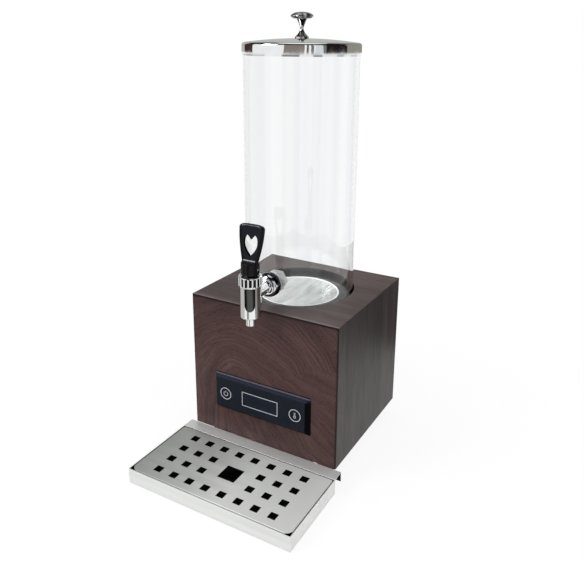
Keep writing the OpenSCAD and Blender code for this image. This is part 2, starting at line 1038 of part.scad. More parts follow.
module mains_inlet() {
    color(black)
        difference() {
            at_inlet() {
                block(inlet_w, inlet_h, rear_proud);
                block(inlet_body_w, inlet_body_h, rear_proud + inlet_body_l);
            }
            at_inlet()
                translate([0, 0, -cut])
                    linear_extrude(height = inlet_socket_l + cut)
                        polygon([[-inlet_socket_w / 2, -inlet_socket_h / 2],
                            [inlet_socket_w / 2, -inlet_socket_h / 2],
                            [inlet_socket_w / 2, inlet_socket_h / 2 - inlet_corner],
                            [inlet_socket_w / 2 - inlet_corner, inlet_socket_h / 2],
                            [-inlet_socket_w / 2 + inlet_corner, inlet_socket_h / 2],
                            [-inlet_socket_w / 2, inlet_socket_h / 2 - inlet_corner]]);
            at_blades()
                block(pin_blade_t + 2 * run_fit, blade_w + 2 * run_fit, 2 * inlet_body_l);
            at_rear_screws()
                rear_screw_hole();
        }
}

// Places of the three blades, from a little inside the socket's mouth
module at_blades() {
    for (i = [-1, 0, 1])
        at_inlet()
            translate([i * blade_pitch, blade_offset(i), inlet_socket_l - blade_l])
                children();
}

module inlet_pins() {
    color([0.80, 0.68, 0.38])
        at_blades()
            block(pin_blade_t, blade_w, blade_l + blade_back + tail_l);
}

module rear_vent() {
    color(black)
        difference() {
            translate([0, rear_y + rear_proud / 2, vent_z])
                cube([vent_w, rear_proud, vent_h], center = true);
            for (i = [0:vent_slots - 1])
                translate([(i - (vent_slots - 1) / 2) * (vent_opening_w / vent_slots), rear_y, vent_z])
                    cube([slot_w, 4 * rear_proud, vent_opening_h - 2 * slot_end], center = true);
            at_rear_screws()
                rear_screw_hole();
        }
}

module rear_screws() {
    color(steel)
        at_rear_screws()
            screw(screw_d, screw_head_d, rear_head_h, rear_screw_l);
}

// Wires

lead_d = 2.2;
lead_x = 10;
lead_z = module_bottom + module_t / 2;
lead_sides = 8;
lead_steps = 4;
lead_end = 6;
lead_up = [0.55, -0.35, 0.76];
terminal_x = supply_x + supply_w / 2 - terminal_w / 2;
terminal_z = base_top_z + terminal_h;
tail_y = rear_y + rear_proud - inlet_socket_l - blade_back - tail_l;
board_back = pcb_y + pcb_t;

// A point on a smooth curve through the route's points, straight at both ends
function route_point(p, i, f) =
    let (a = p[max(i - 1, 0)], b = p[i], c = p[i + 1], d = p[min(i + 2, len(p) - 1)])
    i == 0 || i == len(p) - 2 ? b + (c - b) * f :
    0.5 * (2 * b + (c - a) * f + (2 * a - 5 * b + 4 * c - d) * f * f + (3 * b - a - 3 * c + d) * f * f * f);

function route(p) = concat(
    [for (i = [0:len(p) - 2]) for (k = [0:lead_steps - 1]) route_point(p, i, k / lead_steps)],
    [p[len(p) - 1]]);

function unit(v) = v / norm(v);

function lead_ring(p, i) =
    let (
        t = unit(p[min(i + 1, len(p) - 1)] - p[max(i - 1, 0)]),
        u = unit(cross(t, lead_up)),
        v = cross(t, u)
    )
    [for (j = [0:lead_sides - 1]) let (a = 360 * j / lead_sides)
        p[i] + lead_d / 2 * (u * cos(a) + v * sin(a))];

// A round wire along a route
module lead(places) {
    p = route(places);
    last = len(p) - 1;
    points = [for (i = [0:last]) each lead_ring(p, i)];
    sides = [for (i = [0:last - 1]) for (j = [0:lead_sides - 1])
        let (k = (j + 1) % lead_sides, a = i * lead_sides, b = a + lead_sides)
        each [[a + j, b + k, a + k], [a + j, b + j, b + k]]];
    first_cap = [for (j = [1:lead_sides - 2]) [0, j, j + 1]];
    last_cap = [for (j = [1:lead_sides - 2]) let (a = last * lead_sides) [a, a + j + 1, a + j]];
    polyhedron(points, concat(sides, first_cap, last_cap));
}

// A terminal on the power supply, counted from the rear
function terminal(k) = [terminal_x, supply_y + terminal_first - k * terminal_pitch, terminal_z];

// From the inlet's tails to the power supply's terminals
module mains_wires() {
    color([0.35, 0.22, 0.12])
        for (i = [-1, 0, 1]) {
            start = [inlet_x + i * blade_pitch, tail_y, inlet_z + blade_offset(i)];
            end = terminal(i + 1);
            lead([start, start - [0, lead_end, 0], (start + end) / 2 + [0, -4, 4],
                end + [0, 0, 2 * lead_end], end + [0, 0, lead_end], end]);
        }
}

// From the power supply to the control board, and on to the fan, the module and the probe
module control_wires() {
    color([0.70, 0.10, 0.08]) {
        for (i = [0, 1]) {
            start = terminal(4 + i);
            end = [12 + 7 * i, board_back, panel_z - 6];
            lead([start, start + [0, 0, lead_end], start + [0, -8, 3 * lead_end],
                (start + end) / 2 + [0, 0, 12], end + [0, 4 * lead_end, 2], end + [0, lead_end, 0], end]);
        }
        for (i = [-1, 1]) {
            start = [-18 + 4 * i, board_back, panel_z + 4];
            end = [-18 + 4 * i, tank_y - fan_w / 2, fan_bottom + fan_h / 2];
            lead([start, start + [0, lead_end, 0], (start + end) / 2, end - [0, lead_end, 0], end]);
        }
        for (side = [-1, 1]) {
            start = [side * lead_x, tank_y - module_w / 2, lead_z];
            edge = [side * lead_x, inner_front + 16, lead_z];
            end = [side * lead_x - 2, board_back, panel_z + 10];
            lead([start, (start + edge) / 2, edge + [0, 8, 0], edge, edge + [0, -6, -14],
                end + [0, 2 * lead_end, 2 * lead_end], end + [0, lead_end, 0], end]);
        }
        start = [cold_r + lead_end + seat_fit, tank_y, probe_z];
        end = [button_pitch / 2, board_back, panel_z + 8];
        lead([start, start + [lead_end, 0, 0], start + [22, 0, -2], start + [30, -20, -24],
            end + [26, 40, 30], end + [6, 3 * lead_end, 2], end + [0, lead_end, 0], end]);
    }
}

// Control panel

// Outline of the bevelled front across one direction
module bevel_outline(length) {
    polygon([[-length / 2, 0], [length / 2, 0], [length / 2 - panel_bevel, panel_proud],
        [-length / 2 + panel_bevel, panel_proud]]);
}

// Children at the buttons' centres on the face, with z pointing into the cabinet
module at_button(side) {
    translate([side * button_pitch / 2, face_y, panel_z])
        along_y()
            children();
}

// Places of the posts that carry the control board
module at_posts(y) {
    translate([0, y, panel_z])
        along_y()
            at_corners(post_x, post_z)
                children();
}

button_bore_r = button_d / 2;
button_r = button_bore_r - clear_fit;

module panel_bezel() {
    color(black)
        difference() {
            union() {
                difference() {
                    union() {
                        translate([0, front_y, panel_z])
                            intersection() {
                                rotate([180, 0, 0])
                                    linear_extrude(height = panel_h, center = true)
                                        bevel_outline(panel_w);
                                rotate([180, 90, 0])
                                    linear_extrude(height = panel_w, center = true)
                                        bevel_outline(panel_h);
                            }
                        translate([-house_out_w / 2, front_y - cut, panel_z - house_out_h / 2])
                            cube([house_out_w, house_depth + cut, house_out_h]);
                    }
                    translate([-house_w / 2, face_back, panel_z - house_h / 2])
                        cube([house_w, 2 * house_depth, house_h]);
                }
                at_posts(face_back - cut)
                    cylinder(d = post_d, h = pcb_y - face_back + cut);
            }
            translate([0, face_y, panel_z])
                cube([window_w + 2 * seat_fit, 2 * lens_t, window_h + 2 * seat_fit], center = true);
            translate([0, face_y, panel_z])
                cube([window_w - 2 * lens_ledge, 4 * face_wall, window_h - 2 * lens_ledge], center = true);
            for (side = [-1, 1])
                at_button(side)
                    through_hole(2 * button_bore_r, 2 * face_wall);
            at_posts(pcb_y - board_screw_bite - cut / 2)
                cylinder(d = board_screw_d + 2 * run_fit, h = 2 * board_screw_bite);
            at_panel_screws()
                screw_hole(screw_d, board_t + panel_screw_bite + cut / 4);
        }
}

module panel_screws() {
    color(steel)
        at_panel_screws()
            screw(screw_d, screw_head_d, screw_head_h, board_t + panel_screw_bite);
}

module display_lens() {
    color([0.03, 0.04, 0.06])
        translate([-window_w / 2, face_y, panel_z - window_h / 2])
            cube([window_w, lens_t, window_h]);
}

display_front = face_back + clear_fit;

module display_module() {
    color([0.02, 0.02, 0.02])
        translate([-display_w / 2, display_front, panel_z - display_h / 2])
            cube([display_w, pcb_y - display_front, display_h]);
}

board_screw_d = 2;
board_screw_bite = 5;
board_head_d = 3.8;
board_head_h = 1.4;

module control_board() {
    color([0.08, 0.30, 0.16])
        difference() {
            translate([-house_w / 2 + clear_fit, pcb_y, panel_z - board_h / 2])
                cube([house_w - 2 * clear_fit, pcb_t, board_h]);
            at_posts(pcb_y - cut)
                cylinder(d = board_screw_d + 2 * run_fit, h = pcb_t + 2 * cut);
        }
}

module board_screws() {
    color(steel)
        at_posts(pcb_y + pcb_t)
            rotate([180, 0, 0])
                screw(board_screw_d, board_head_d, board_head_h, pcb_t + board_screw_bite);
}

module tact_switches() {
    color([0.12, 0.12, 0.12])
        for (side = [-1, 1])
            translate([side * button_pitch / 2, pcb_y, panel_z])
                rotate([90, 0, 0]) {
                    block(switch_w, switch_w, switch_h);
                    cylinder(d = plunger_d, h = switch_h + plunger_l);
                }
}

// A round cap, a flange behind the face and a stem that ends just short of its switch
module button(side) {
    flange_at = face_wall + seat_fit;
    stem_end = panel_proud + pcb_inset - switch_h - plunger_l - button_travel - seat_fit;
    color(black)
        at_button(side) {
            translate([0, 0, -button_proud])
                cylinder(r = button_r, h = button_proud + flange_at + flange_t);
            translate([0, 0, flange_at])
                cylinder(r = button_bore_r + flange_lip, h = flange_t);
            cylinder(d = button_stem_d, h = stem_end);
        }
}

module button_left() {
    button(-1);
}

module button_right() {
    button(1);
}

// Tank

module tank_tube() {
    color(clear)
        difference() {
            at_tank(tank_z)
                ring(tube_r, bore_r, tube_h);
            at_tap()
                along_y()
                    cylinder(d = shank_d + 2 * clear_fit, h = tap_reach + tube_r);
        }
}

floor_step_r = floor_plate_d / 2 - floor_step;
seal_t = 1;
plate_rim_t = 2;
seal_z = floor_z - plate_rim_t - seal_t;

module tank_floor_ring() {
    color(clear)
        difference() {
            at_tank(tank_z)
                ring(bore_r - run_fit, floor_step_r + run_fit, floor_t);
            at_tank(seal_z)
                cylinder(r = floor_plate_d / 2 + run_fit, h = floor_t);
        }
}

module tank_floor_plate() {
    color(steel)
        at_tank(0) {
            translate([0, 0, tank_z])
                cylinder(r = floor_step_r, h = floor_t);
            translate([0, 0, floor_z - plate_rim_t])
                cylinder(d = floor_plate_d, h = plate_rim_t);
        }
}

module floor_seal() {
    color(silicone)
        at_tank(seal_z)
            ring(floor_plate_d / 2, floor_step_r + run_fit, seal_t);
}

// Lid

// The lid's outer surface from the skirt's foot to the axis, drawn in by a sheet
function lid_curve(inset) = concat(
    [[lid_r - inset, lid_skirt_z]],
    arc_points(lid_r - lid_shoulder_r, lid_rim_z - lid_shoulder_r, lid_shoulder_r - inset, 0, 90),
    [for (i = [1:arc_steps]) lid_dome_point(i / arc_steps, inset)]);

function lid_dome_point(f, inset) =
    [(lid_r - lid_shoulder_r) * (1 - f), lid_rim_z - inset + lid_dome * (1 - (1 - f) * (1 - f))];

function reversed(points) = [for (i = [len(points) - 1:-1:0]) points[i]];

module lid() {
    color(chrome)
        at_tank(0)
            difference() {
                rotate_extrude()
                    polygon(concat(lid_curve(0), reversed(lid_curve(lid_t))));
                translate([0, 0, lid_top_z])
                    through_hole(2 * (knob_screw_r + run_fit), 2 * lid_dome);
            }
}

module lid_gasket() {
    color(silicone)
        at_tank(tube_top_z + seat_fit)
            ring(tube_r - run_fit, bore_r + gasket_inset, gasket_t - 2 * seat_fit);
}

// A lens-shaped head on a thin neck that flares to a foot
function knob_outline() =
    let (
        r = knob_d / 2,
        neck = knob_neck_d / 2,
        foot = knob_foot_d / 2,
        rim = knob_h - knob_rim_drop,
        head = knob_h - knob_head_h,
        under = neck + knob_under_swell
    )
    concat(
        [[0, 0], [foot, 0], [foot, knob_foot_t]],
        [for (i = [1:arc_steps]) let (f = i / arc_steps)
            [neck + (foot - neck) * pow(1 - f, knob_flare),
                knob_foot_t + (knob_flare_h - knob_foot_t) * f]],
        [[neck + knob_neck_swell, head]],
        [for (i = [0:arc_steps]) let (a = -90 + 90 * i / arc_steps)
            [under + (r - under) * cos(a), rim + (rim - head) * sin(a)]],
        [for (i = [1:arc_steps]) let (a = 90 * i / arc_steps)
            [r * cos(a), rim + knob_rim_drop * sin(a)]]);

module lid_knob() {
    color(chrome)
        at_tank(lid_top_z)
            difference() {
                rotate_extrude()
                    polygon(knob_outline());
                translate([0, 0, -cut])
                    cylinder(r = knob_hole_r, h = knob_bore_l + cut);
            }
}

module knob_screw() {
    color(steel)
        at_tank(lid_top_z - lid_t - seat_fit)
            screw(2 * knob_screw_r, big_head_d, big_head_h, knob_bore_l);
}

// Tap

// The vertical body: spout, rounded bottom and threaded neck
module tap_barrel() {
    rotate_extrude()
        polygon(concat(
            [[0, spout_z], [spout_d / 2 - spout_chamfer, spout_z], [spout_d / 2, spout_z + spout_chamfer],
                [spout_d / 2, -tap_drop]],
            arc_points(tap_r - body_edge_r, body_edge_r - tap_drop, body_edge_r, -90, 0),
            [[tap_r, tap_rise], [neck_r, tap_rise], [neck_r, tap_rise + neck_h], [0, tap_rise + neck_h]]));
}

// The shank with its domed flange, along z
module tap_shank() {
    flange_r = flange_d / 2;
    rotate_extrude()
        polygon(concat(
            [[0, 0], [neck_shank_r, 0], [neck_shank_r, flange_back - flange_l]],
            [for (i = [0:arc_steps]) let (a = 90 * i / arc_steps)
                [neck_shank_r + (flange_r - neck_shank_r) * sin(a),
                    flange_back - flange_rim_t - (flange_l - flange_rim_t) * cos(a)]],
            [[flange_r, flange_back], [shank_d / 2, flange_back], [shank_d / 2, shank_end],
                [0, shank_end]]));
}

// What the round-ended groove takes away from the body's front
module groove() {
    rotate_extrude()
        polygon(concat(
            arc_points(0, groove_end, groove_r, -90, 0),
            [[groove_r, ring_bottom], [0, ring_bottom]]));
}

module tap_body() {
    color(chrome)
        at_tap()
            difference() {
                union() {
                    tap_barrel();
                    along_y()
                        tap_shank();
                }
                translate([0, 0, seat_z])
                    cylinder(r = chamber_r, h = tap_drop + tap_rise + neck_h);
                through_hole(2 * outlet_r, -2 * spout_z);
                along_y()
                    cylinder(r = inlet_r, h = shank_end + cut);
                translate([0, -groove_at, 0])
                    groove();
            }
}

// A soft washer shaped to the tube's outside
module tap_outer_washer() {
    color(silicone)
        difference() {
            at_tap()
                along_y()
                    translate([0, 0, flange_back])
                        ring(washer_r, shank_d / 2 + run_fit, washer_t + tube_wall);
            at_tank(tank_z)
                cylinder(r = tube_r + run_fit, h = tube_h, $fn = tube_fn);
        }
}

// A soft washer shaped to the tube's inside
module tap_inner_washer() {
    color(silicone)
        intersection() {
            at_tap()
                along_y()
                    translate([0, 0, tap_reach])
                        ring(inner_washer_r, shank_d / 2 + run_fit, inner_flat - tap_reach);
            at_tank(tank_z)
                cylinder(r = bore_r - run_fit, h = tube_h, $fn = tube_fn);
        }
}

module tap_nut() {
    color(steel)
        at_tap()
            along_y()
                translate([0, 0, inner_flat])
                    difference() {
                        union() {
                            cylinder(r = inner_washer_r, h = nut_flange_t);
                            cylinder(d = nut_af / cos(30), h = nut_flange_t + nut_l, $fn = 6);
                        }
                        through_hole(shank_d + 2 * run_fit, 2 * shank_end);
                    }
}

module tap_bonnet() {
    color(chrome)
        at_tap()
            difference() {
                union() {
                    translate([0, 0, tap_rise + neck_h])
                        cylinder(r = neck_r, h = bonnet_flange_t);
                    translate([0, 0, tap_rise + neck_h])
                        cylinder(r = bonnet_r, h = ring_top - tap_rise - neck_h);
                    translate([0, 0, tap_rise + neck_h - sleeve_l])
                        cylinder(r = sleeve_r, h = sleeve_l + cut);
                }
                through_hole(2 * (stem_r + run_fit), 2 * ring_top);
            }
}

// A ring with rounded lobes and an inward lip at its top
module tap_ring_nut() {
    color(chrome)
        at_tap()
            difference() {
                union() {
                    translate([0, 0, ring_bottom])
                        cylinder(r = ring_core_r, h = ring_h);
                    for (i = [0:ring_lobes - 1])
                        rotate(i * 360 / ring_lobes)
                            translate([lobe_at, 0, ring_bottom + lobe_inset])
                                cylinder(r = lobe_r, h = ring_h - 2 * lobe_inset);
                }
                translate([0, 0, -cut])
                    cylinder(r = neck_r + run_fit, h = ring_top - lip_t + cut);
                through_hole(2 * (bonnet_r + run_fit), 2 * ring_top);
            }
}

module valve_stem() {
    color(steel)
        at_tap()
            difference() {
                union() {
                    translate([0, 0, plug_top])
                        cylinder(r = stem_r, h = pin_z - plug_top);
                    translate([0, 0, plug_top - stub_l])
                        cylinder(r = stub_r, h = stub_l + cut);
                    translate([0, 0, collar_z])
                        cylinder(r = collar_r, h = collar_t);
                    translate([0, 0, pin_z])
                        rotate([0, 90, 0])
                            cylinder(r = eye_r, h = eye_w, center = true);
                }
                translate([0, 0, pin_z])
                    rotate([0, 90, 0])
                        through_hole(pin_d + 2 * run_fit, eye_w);
            }
}

module seat_plug() {
    color(silicone)
        at_tap()
            translate([0, 0, seat_z])
                difference() {
                    cylinder(r = plug_r, h = plug_h);
                    translate([0, 0, plug_h - stub_l - run_fit])
                        cylinder(r = stub_r + run_fit, h = stub_l + cut);
                }
}

spring_low = collar_z + collar_t + wire_d / 2 + seat_fit;
spring_high = tap_rise + neck_h - sleeve_l - wire_d / 2 - seat_fit;
coil_rings = 10;
coil_sides = 6;

// Points round the wire at one place along the coil
function coil_ring(i) =
    let (
        f = i / (coil_turns * coil_rings),
        a = 360 * coil_turns * f,
        z = spring_low + (spring_high - spring_low) * f
    )
    [for (j = [0:coil_sides - 1]) let (b = 360 * j / coil_sides, r = coil_r + wire_d / 2 * cos(b))
        [r * cos(a), r * sin(a), z + wire_d / 2 * sin(b)]];

// A coil spring round the stem
module valve_spring() {
    last = coil_turns * coil_rings;
    points = [for (i = [0:last]) each coil_ring(i)];
    sides = [for (i = [0:last - 1]) for (j = [0:coil_sides - 1])
        let (k = (j + 1) % coil_sides, a = i * coil_sides, b = a + coil_sides)
        each [[a + j, a + k, b + k], [a + j, b + k, b + j]]];
    low_cap = [for (j = [1:coil_sides - 2]) [0, j + 1, j]];
    high_cap = [for (j = [1:coil_sides - 2]) let (a = last * coil_sides) [a, a + j, a + j + 1]];
    color(steel)
        at_tap()
            polyhedron(points, concat(sides, low_cap, high_cap));
}

// Half the paddle's width at a height above the neck
function paddle_half(z) =
    paddle_neck_w / 2 + (paddle_top_w - paddle_neck_w) / 2 * sin(90 * min(1, z / paddle_flare_h));

// The paddle's right edge from the neck to the top's middle
function paddle_edge() =
    let (side_h = paddle_h - paddle_crown)
    concat(
        [for (i = [0:arc_steps]) let (z = side_h * i / arc_steps) [paddle_half(z), z]],
        [for (i = [1:arc_steps]) let (a = 90 * i / arc_steps)
            [paddle_half(side_h) * sqrt(cos(a)), side_h + paddle_crown * sin(a)]]);

function mirrored(points) = [for (p = reversed(points)) [-p[0], p[1]]];

// Height on a heart curve, as a share: its sum of cosines runs from -14 at the tip to 11.62 at the lobes
function heart_rise_at(a) =
    (14 + 13 * cos(a) - 2 * cos(2 * a) - 2 * cos(3 * a) - cos(4 * a)) / (14 + 11.62);

// A heart whose tip is at the origin
function heart_outline() =
    [for (i = [0:heart_steps - 1]) let (a = 360 * i / heart_steps)
        [heart_w / 2 * pow(abs(sin(a)), 3) * sign(sin(a)), heart_h * heart_rise_at(a)]];

// The paddle's plate with the heart cut out of it
module paddle() {
    rotate([-paddle_lean, 0, 0])
        rotate([90, 0, 0])
            linear_extrude(height = paddle_t, center = true)
                difference() {
                    union() {
                        polygon(concat(paddle_edge(), mirrored(paddle_edge())));
                        translate([-paddle_neck_w / 2, -cut])
                            square([paddle_neck_w, 2 * cut]);
                    }
                    translate([0, heart_rise])
                        polygon(heart_outline());
                }
}

// The round heel, hollow for the stem, with the paddle on top
module tap_lever() {
    heel_r = heel_d / 2;
    slot_front = pin_h * tan(heel_sweep) + stem_r / cos(heel_sweep) + slot_gap;
    slot_back = eye_r + slot_gap;
    slot_top = pin_h + eye_r + slot_gap;
    color(black)
        at_tap()
            difference() {
                translate([0, 0, heel_z]) {
                    rotate_extrude()
                        polygon(concat(
                            [[0, 0]],
                            arc_points(heel_r - heel_edge_r, heel_edge_r, heel_edge_r, -90, 0),
                            arc_points(heel_r - heel_top_r, heel_h - heel_top_r, heel_top_r, 0, 90),
                            [[0, heel_h]]));
                    translate([0, 0, heel_h])
                        paddle();
                }
                translate([-eye_w / 2 - clear_fit, -slot_front, heel_z - cut])
                    cube([eye_w + 2 * clear_fit, slot_front + slot_back, slot_top + cut]);
                translate([0, 0, pin_z])
                    rotate([0, 90, 0])
                        through_hole(pin_d + run_fit, heel_d);
            }
}

module lever_pin() {
    color(steel)
        at_tap()
            translate([0, 0, pin_z])
                rotate([0, 90, 0])
                    cylinder(d = pin_d, h = heel_d - 2 * pin_inset, center = true);
}

// Drip tray

module drip_tray() {
    color(steel) {
        difference() {
            translate([-tray_w / 2, tray_front_y, 0])
                cube([tray_w, tray_d, tray_h]);
            translate([-tray_w / 2 + tray_t, tray_front_y + tray_t, tray_t])
                cube([tray_w - 2 * tray_t, tray_d - 2 * tray_t, tray_h]);
        }
        translate([-tray_w / 2, tray_back_y - tray_t, tray_h - tray_t])
            cube([tray_w, strip_d - tray_back_gap + tray_t, tray_t]);
        translate([-tray_w / 2, hook_y - tray_t, tray_h - hook_l])
            cube([tray_w, tray_t, hook_l]);
    }
}

// A flat shape with round corners, larger ones at the front
module rounded_plate(w, d, front_r, back_r, h) {
    difference() {
        block(w, d, h);
        for (side = [-1, 1]) {
            corner_cut(side * w / 2, -d / 2, side, -1, front_r, h);
            corner_cut(side * w / 2, d / 2, side, 1, back_r, h);
        }
    }
}

// What a round corner takes away from a square one
module corner_cut(x, y, sx, sy, r, h) {
    difference() {
        translate([x - sx * (r - cut) / 2, y - sy * (r - cut) / 2, h / 2])
            cube([r + cut, r + cut, 3 * h], center = true);
        translate([x - sx * r, y - sy * r, -2 * h])
            cylinder(r = r, h = 5 * h);
    }
}

// True where the large middle hole takes a small hole's place
function in_middle(i, j) =
    abs(i - (hole_columns - 1) / 2) < 1 && abs(j - (hole_rows - 1) / 2) < 1;

module drip_grille() {
    color(steel)
        translate([0, grille_y, tray_t])
            difference() {
                rounded_plate(grille_w, grille_d, grille_corner_r, grille_back_r, grille_h);
                translate([0, 0, -tray_t])
                    rounded_plate(grille_w - 2 * tray_t, grille_d - 2 * tray_t,
                        grille_corner_r - tray_t, grille_back_r - tray_t, grille_h);
                for (i = [0:hole_columns - 1])
                    for (j = [0:hole_rows - 1])
                        if (!in_middle(i, j))
                            translate([(i - (hole_columns - 1) / 2) * hole_pitch_x,
                                (j - (hole_rows - 1) / 2) * hole_pitch_y, grille_h])
                                cube([hole_w, hole_w, 4 * tray_t], center = true);
                translate([0, 0, grille_h])
                    cube([middle_hole_w, middle_hole_w, 4 * tray_t], center = true);
            }
}

front_board();
rear_board();
left_board();
right_board();
top_board();
corner_battens();
base_plate();
feet();
foot_screws();
tray_hanger();
hanger_screws();
seat_dish();
dish_screws();
cold_plate();
insulation_ring();
peltier_module();
heat_sink();
sink_screws();
fan_frame();
fan_rotor();
fan_screws();
temp_probe();
power_supply();
supply_screws();
mains_inlet();
inlet_pins();
rear_vent();
rear_screws();
panel_bezel();
panel_screws();
display_lens();
display_module();
control_board();
tact_switches();
board_screws();
button_left();
button_right();
tank_tube();
tank_floor_ring();
tank_floor_plate();
floor_seal();
lid();
lid_gasket();
lid_knob();
knob_screw();
tap_body();
tap_outer_washer();
tap_inner_washer();
tap_nut();
tap_bonnet();
tap_ring_nut();
valve_stem();
seat_plug();
valve_spring();
tap_lever();
lever_pin();
drip_tray();
drip_grille();
mains_wires();
control_wires();
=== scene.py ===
import bpy, bmesh, json, math
from mathutils import Vector, Matrix


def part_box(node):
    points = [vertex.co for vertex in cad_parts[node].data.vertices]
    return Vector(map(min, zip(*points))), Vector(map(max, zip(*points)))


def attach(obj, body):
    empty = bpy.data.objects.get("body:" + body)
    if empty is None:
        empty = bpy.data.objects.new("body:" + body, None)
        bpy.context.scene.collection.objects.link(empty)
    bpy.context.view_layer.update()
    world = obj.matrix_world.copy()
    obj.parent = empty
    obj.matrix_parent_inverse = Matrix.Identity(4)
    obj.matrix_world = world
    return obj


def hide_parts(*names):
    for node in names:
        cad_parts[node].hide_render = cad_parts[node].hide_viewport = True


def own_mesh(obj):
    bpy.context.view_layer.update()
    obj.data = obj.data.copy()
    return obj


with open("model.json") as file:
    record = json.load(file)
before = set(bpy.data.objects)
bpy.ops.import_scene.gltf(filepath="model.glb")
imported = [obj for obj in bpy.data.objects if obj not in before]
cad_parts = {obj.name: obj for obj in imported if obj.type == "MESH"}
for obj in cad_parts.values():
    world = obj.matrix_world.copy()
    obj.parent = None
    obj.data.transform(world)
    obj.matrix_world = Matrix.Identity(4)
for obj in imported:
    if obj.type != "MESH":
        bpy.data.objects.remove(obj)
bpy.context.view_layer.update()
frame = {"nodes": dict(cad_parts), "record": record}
scene = bpy.context.scene
print("frame loaded:", len(frame["nodes"]), "solids")


def tint(r, g, b):  # screen colour 0-255 to the linear value a shader wants
    def one(c):
        c = c / 255
        return c / 12.92 if c <= 0.04045 else ((c + 0.055) / 1.055) ** 2.4
    return (one(r), one(g), one(b), 1.0)


def grey(value):
    return (value, value, value, 1.0)


# nodes

def feed(node, inputs):  # a value is set, an output is linked, and a list of outputs is linked in turn
    for key, value in inputs.items():
        if isinstance(value, (list, bpy.types.NodeSocket)):
            for output in value if isinstance(value, list) else [value]:
                node.id_data.links.new(output, node.inputs[key])
        else:
            node.inputs[key].default_value = value


def addNode(tree, kind, inputs, **settings):
    node = tree.nodes.new(kind)
    for key, value in settings.items():
        setattr(node, key, value)
    feed(node, inputs)
    return node.outputs


def maths(kind, first, second=0.0):
    return addNode(first.id_data, "ShaderNodeMath", {0: first, 1: second}, operation=kind)[0]


def vectorMaths(kind, first, second=(0, 0, 0)):
    outputs = addNode(first.id_data, "ShaderNodeVectorMath", {0: first, 1: second}, operation=kind)
    return outputs["Value" if kind in ("LENGTH", "DOT_PRODUCT") else "Vector"]


def splitAxes(vector):
    return addNode(vector.id_data, "ShaderNodeSeparateXYZ", {"Vector": vector})


def joinAxes(**axes):
    return addNode(axes["X"].id_data, "ShaderNodeCombineXYZ", axes)["Vector"]


def placed(vector, move=(0, 0, 0), turn=(0, 0, 0), size=(1, 1, 1)):
    turned = tuple(math.radians(a) for a in turn)
    inputs = {"Location": move, "Rotation": turned, "Scale": size, "Vector": vector}
    return addNode(vector.id_data, "ShaderNodeMapping", inputs)["Vector"]


def cloud(vector, scale, detail=4.0, rough=0.55):
    inputs = {"Scale": scale, "Detail": detail, "Roughness": rough, "Vector": vector}
    return addNode(vector.id_data, "ShaderNodeTexNoise", inputs)[0]


def graded(value, stops):
    node = value.id_data.nodes.new("ShaderNodeValToRGB")
    feed(node, {"Fac": value})
    elements = node.color_ramp.elements
    while len(elements) < len(stops):
        elements.new(0.5)
    for element, (at, colour) in zip(elements, stops):
        element.position = at
        element.color = colour
    return node.outputs["Color"]


def shaded(value, stops):
    return graded(value, [(at, grey(share)) for at, share in stops])


def ranged(value, low, high, fromLow=0.3, fromHigh=0.7):
    inputs = {"From Min": fromLow, "From Max": fromHigh, "To Min": low, "To Max": high, "Value": value}
    return addNode(value.id_data, "ShaderNodeMapRange", inputs)["Result"]


def blended(share, first, second, how="MIX"):
    inputs = {0: share, 6: first, 7: second}
    return addNode(first.id_data, "ShaderNodeMix", inputs, data_type="RGBA", blend_type=how)[2]


def embossed(shader, height, strength, distance):
    inputs = {"Strength": strength, "Distance": distance, "Height": height}
    feed(shader, {"Normal": addNode(shader.id_data, "ShaderNodeBump", inputs)["Normal"]})


# finishes

finishes = {}
brushed, shallow = (0.04, 1, 1), 0.00004


def startFinish(name):
    mat = finishes[name] = bpy.data.materials.new(name)
    mat.use_nodes = True
    tree = mat.node_tree
    where = tree.nodes.new("ShaderNodeTexCoord")
    return tree.nodes["Principled BSDF"], where.outputs["Object"]


# a finish whose colour, gloss and surface all wander with one noise pattern
def plainFinish(name, dark, light, gloss, scale, stretch=(1, 1, 1), detail=4.0, metal=0.0, bump=0.05, depth=0.0002,
                coat=0.0, specular=0.5, seeThrough=0.0, ior=1.5):
    shader, spot = startFinish(name)
    pattern = cloud(placed(spot, size=stretch), scale, detail)
    feed(shader, {
        "Base Color": graded(pattern, [(0.3, tint(*dark)), (0.7, tint(*light))]),
        "Roughness": ranged(pattern, *gloss), "Metallic": metal, "Coat Weight": coat, "Coat Roughness": 0.08,
        "Specular IOR Level": specular, "Transmission Weight": seeThrough, "IOR": ior})
    if bump:
        embossed(shader, pattern, bump, depth)


# a finish whose colour follows a place on the piece, and wanders a little
def placeFinish(name, placeOf, stops, jitter, gloss, scale, stretch=(1, 1, 1), metal=0.0, specular=0.5, bump=0.0):
    shader, spot = startFinish(name)
    wander = cloud(placed(spot, size=stretch), scale)
    value = maths("ADD", placeOf(*splitAxes(spot)), ranged(wander, -jitter, jitter))
    feed(shader, {
        "Base Color": graded(value, [(at, tint(*colour)) for at, colour in stops]),
        "Roughness": ranged(wander, *gloss), "Metallic": metal, "Specular IOR Level": specular})
    if bump:
        embossed(shader, wander, bump, shallow)


walnutLook = {
    "dark": tint(66, 43, 42), "mid": tint(80, 55, 53), "light": tint(94, 68, 65), "speck": tint(40, 26, 25),
    "gloss": (0.46, 0.34), "sheen": 0.2, "broadScale": 46.0, "fineScale": 520.0, "poreScale": 900.0,
    "rings": 185.0, "sway": 3.3, "swayScale": 60.0, "fadeScale": 42.0, "fadeLow": 0.16, "threads": 430.0,
    "lineShade": 0.3, "fineShade": 0.46, "fineShare": 0.7, "speckShare": 0.2,
    "drift": 0.055, "driftScale": 9.0, "driftDetail": 2.5, "turnShare": 0.006, "alongShare": 0.05,
}


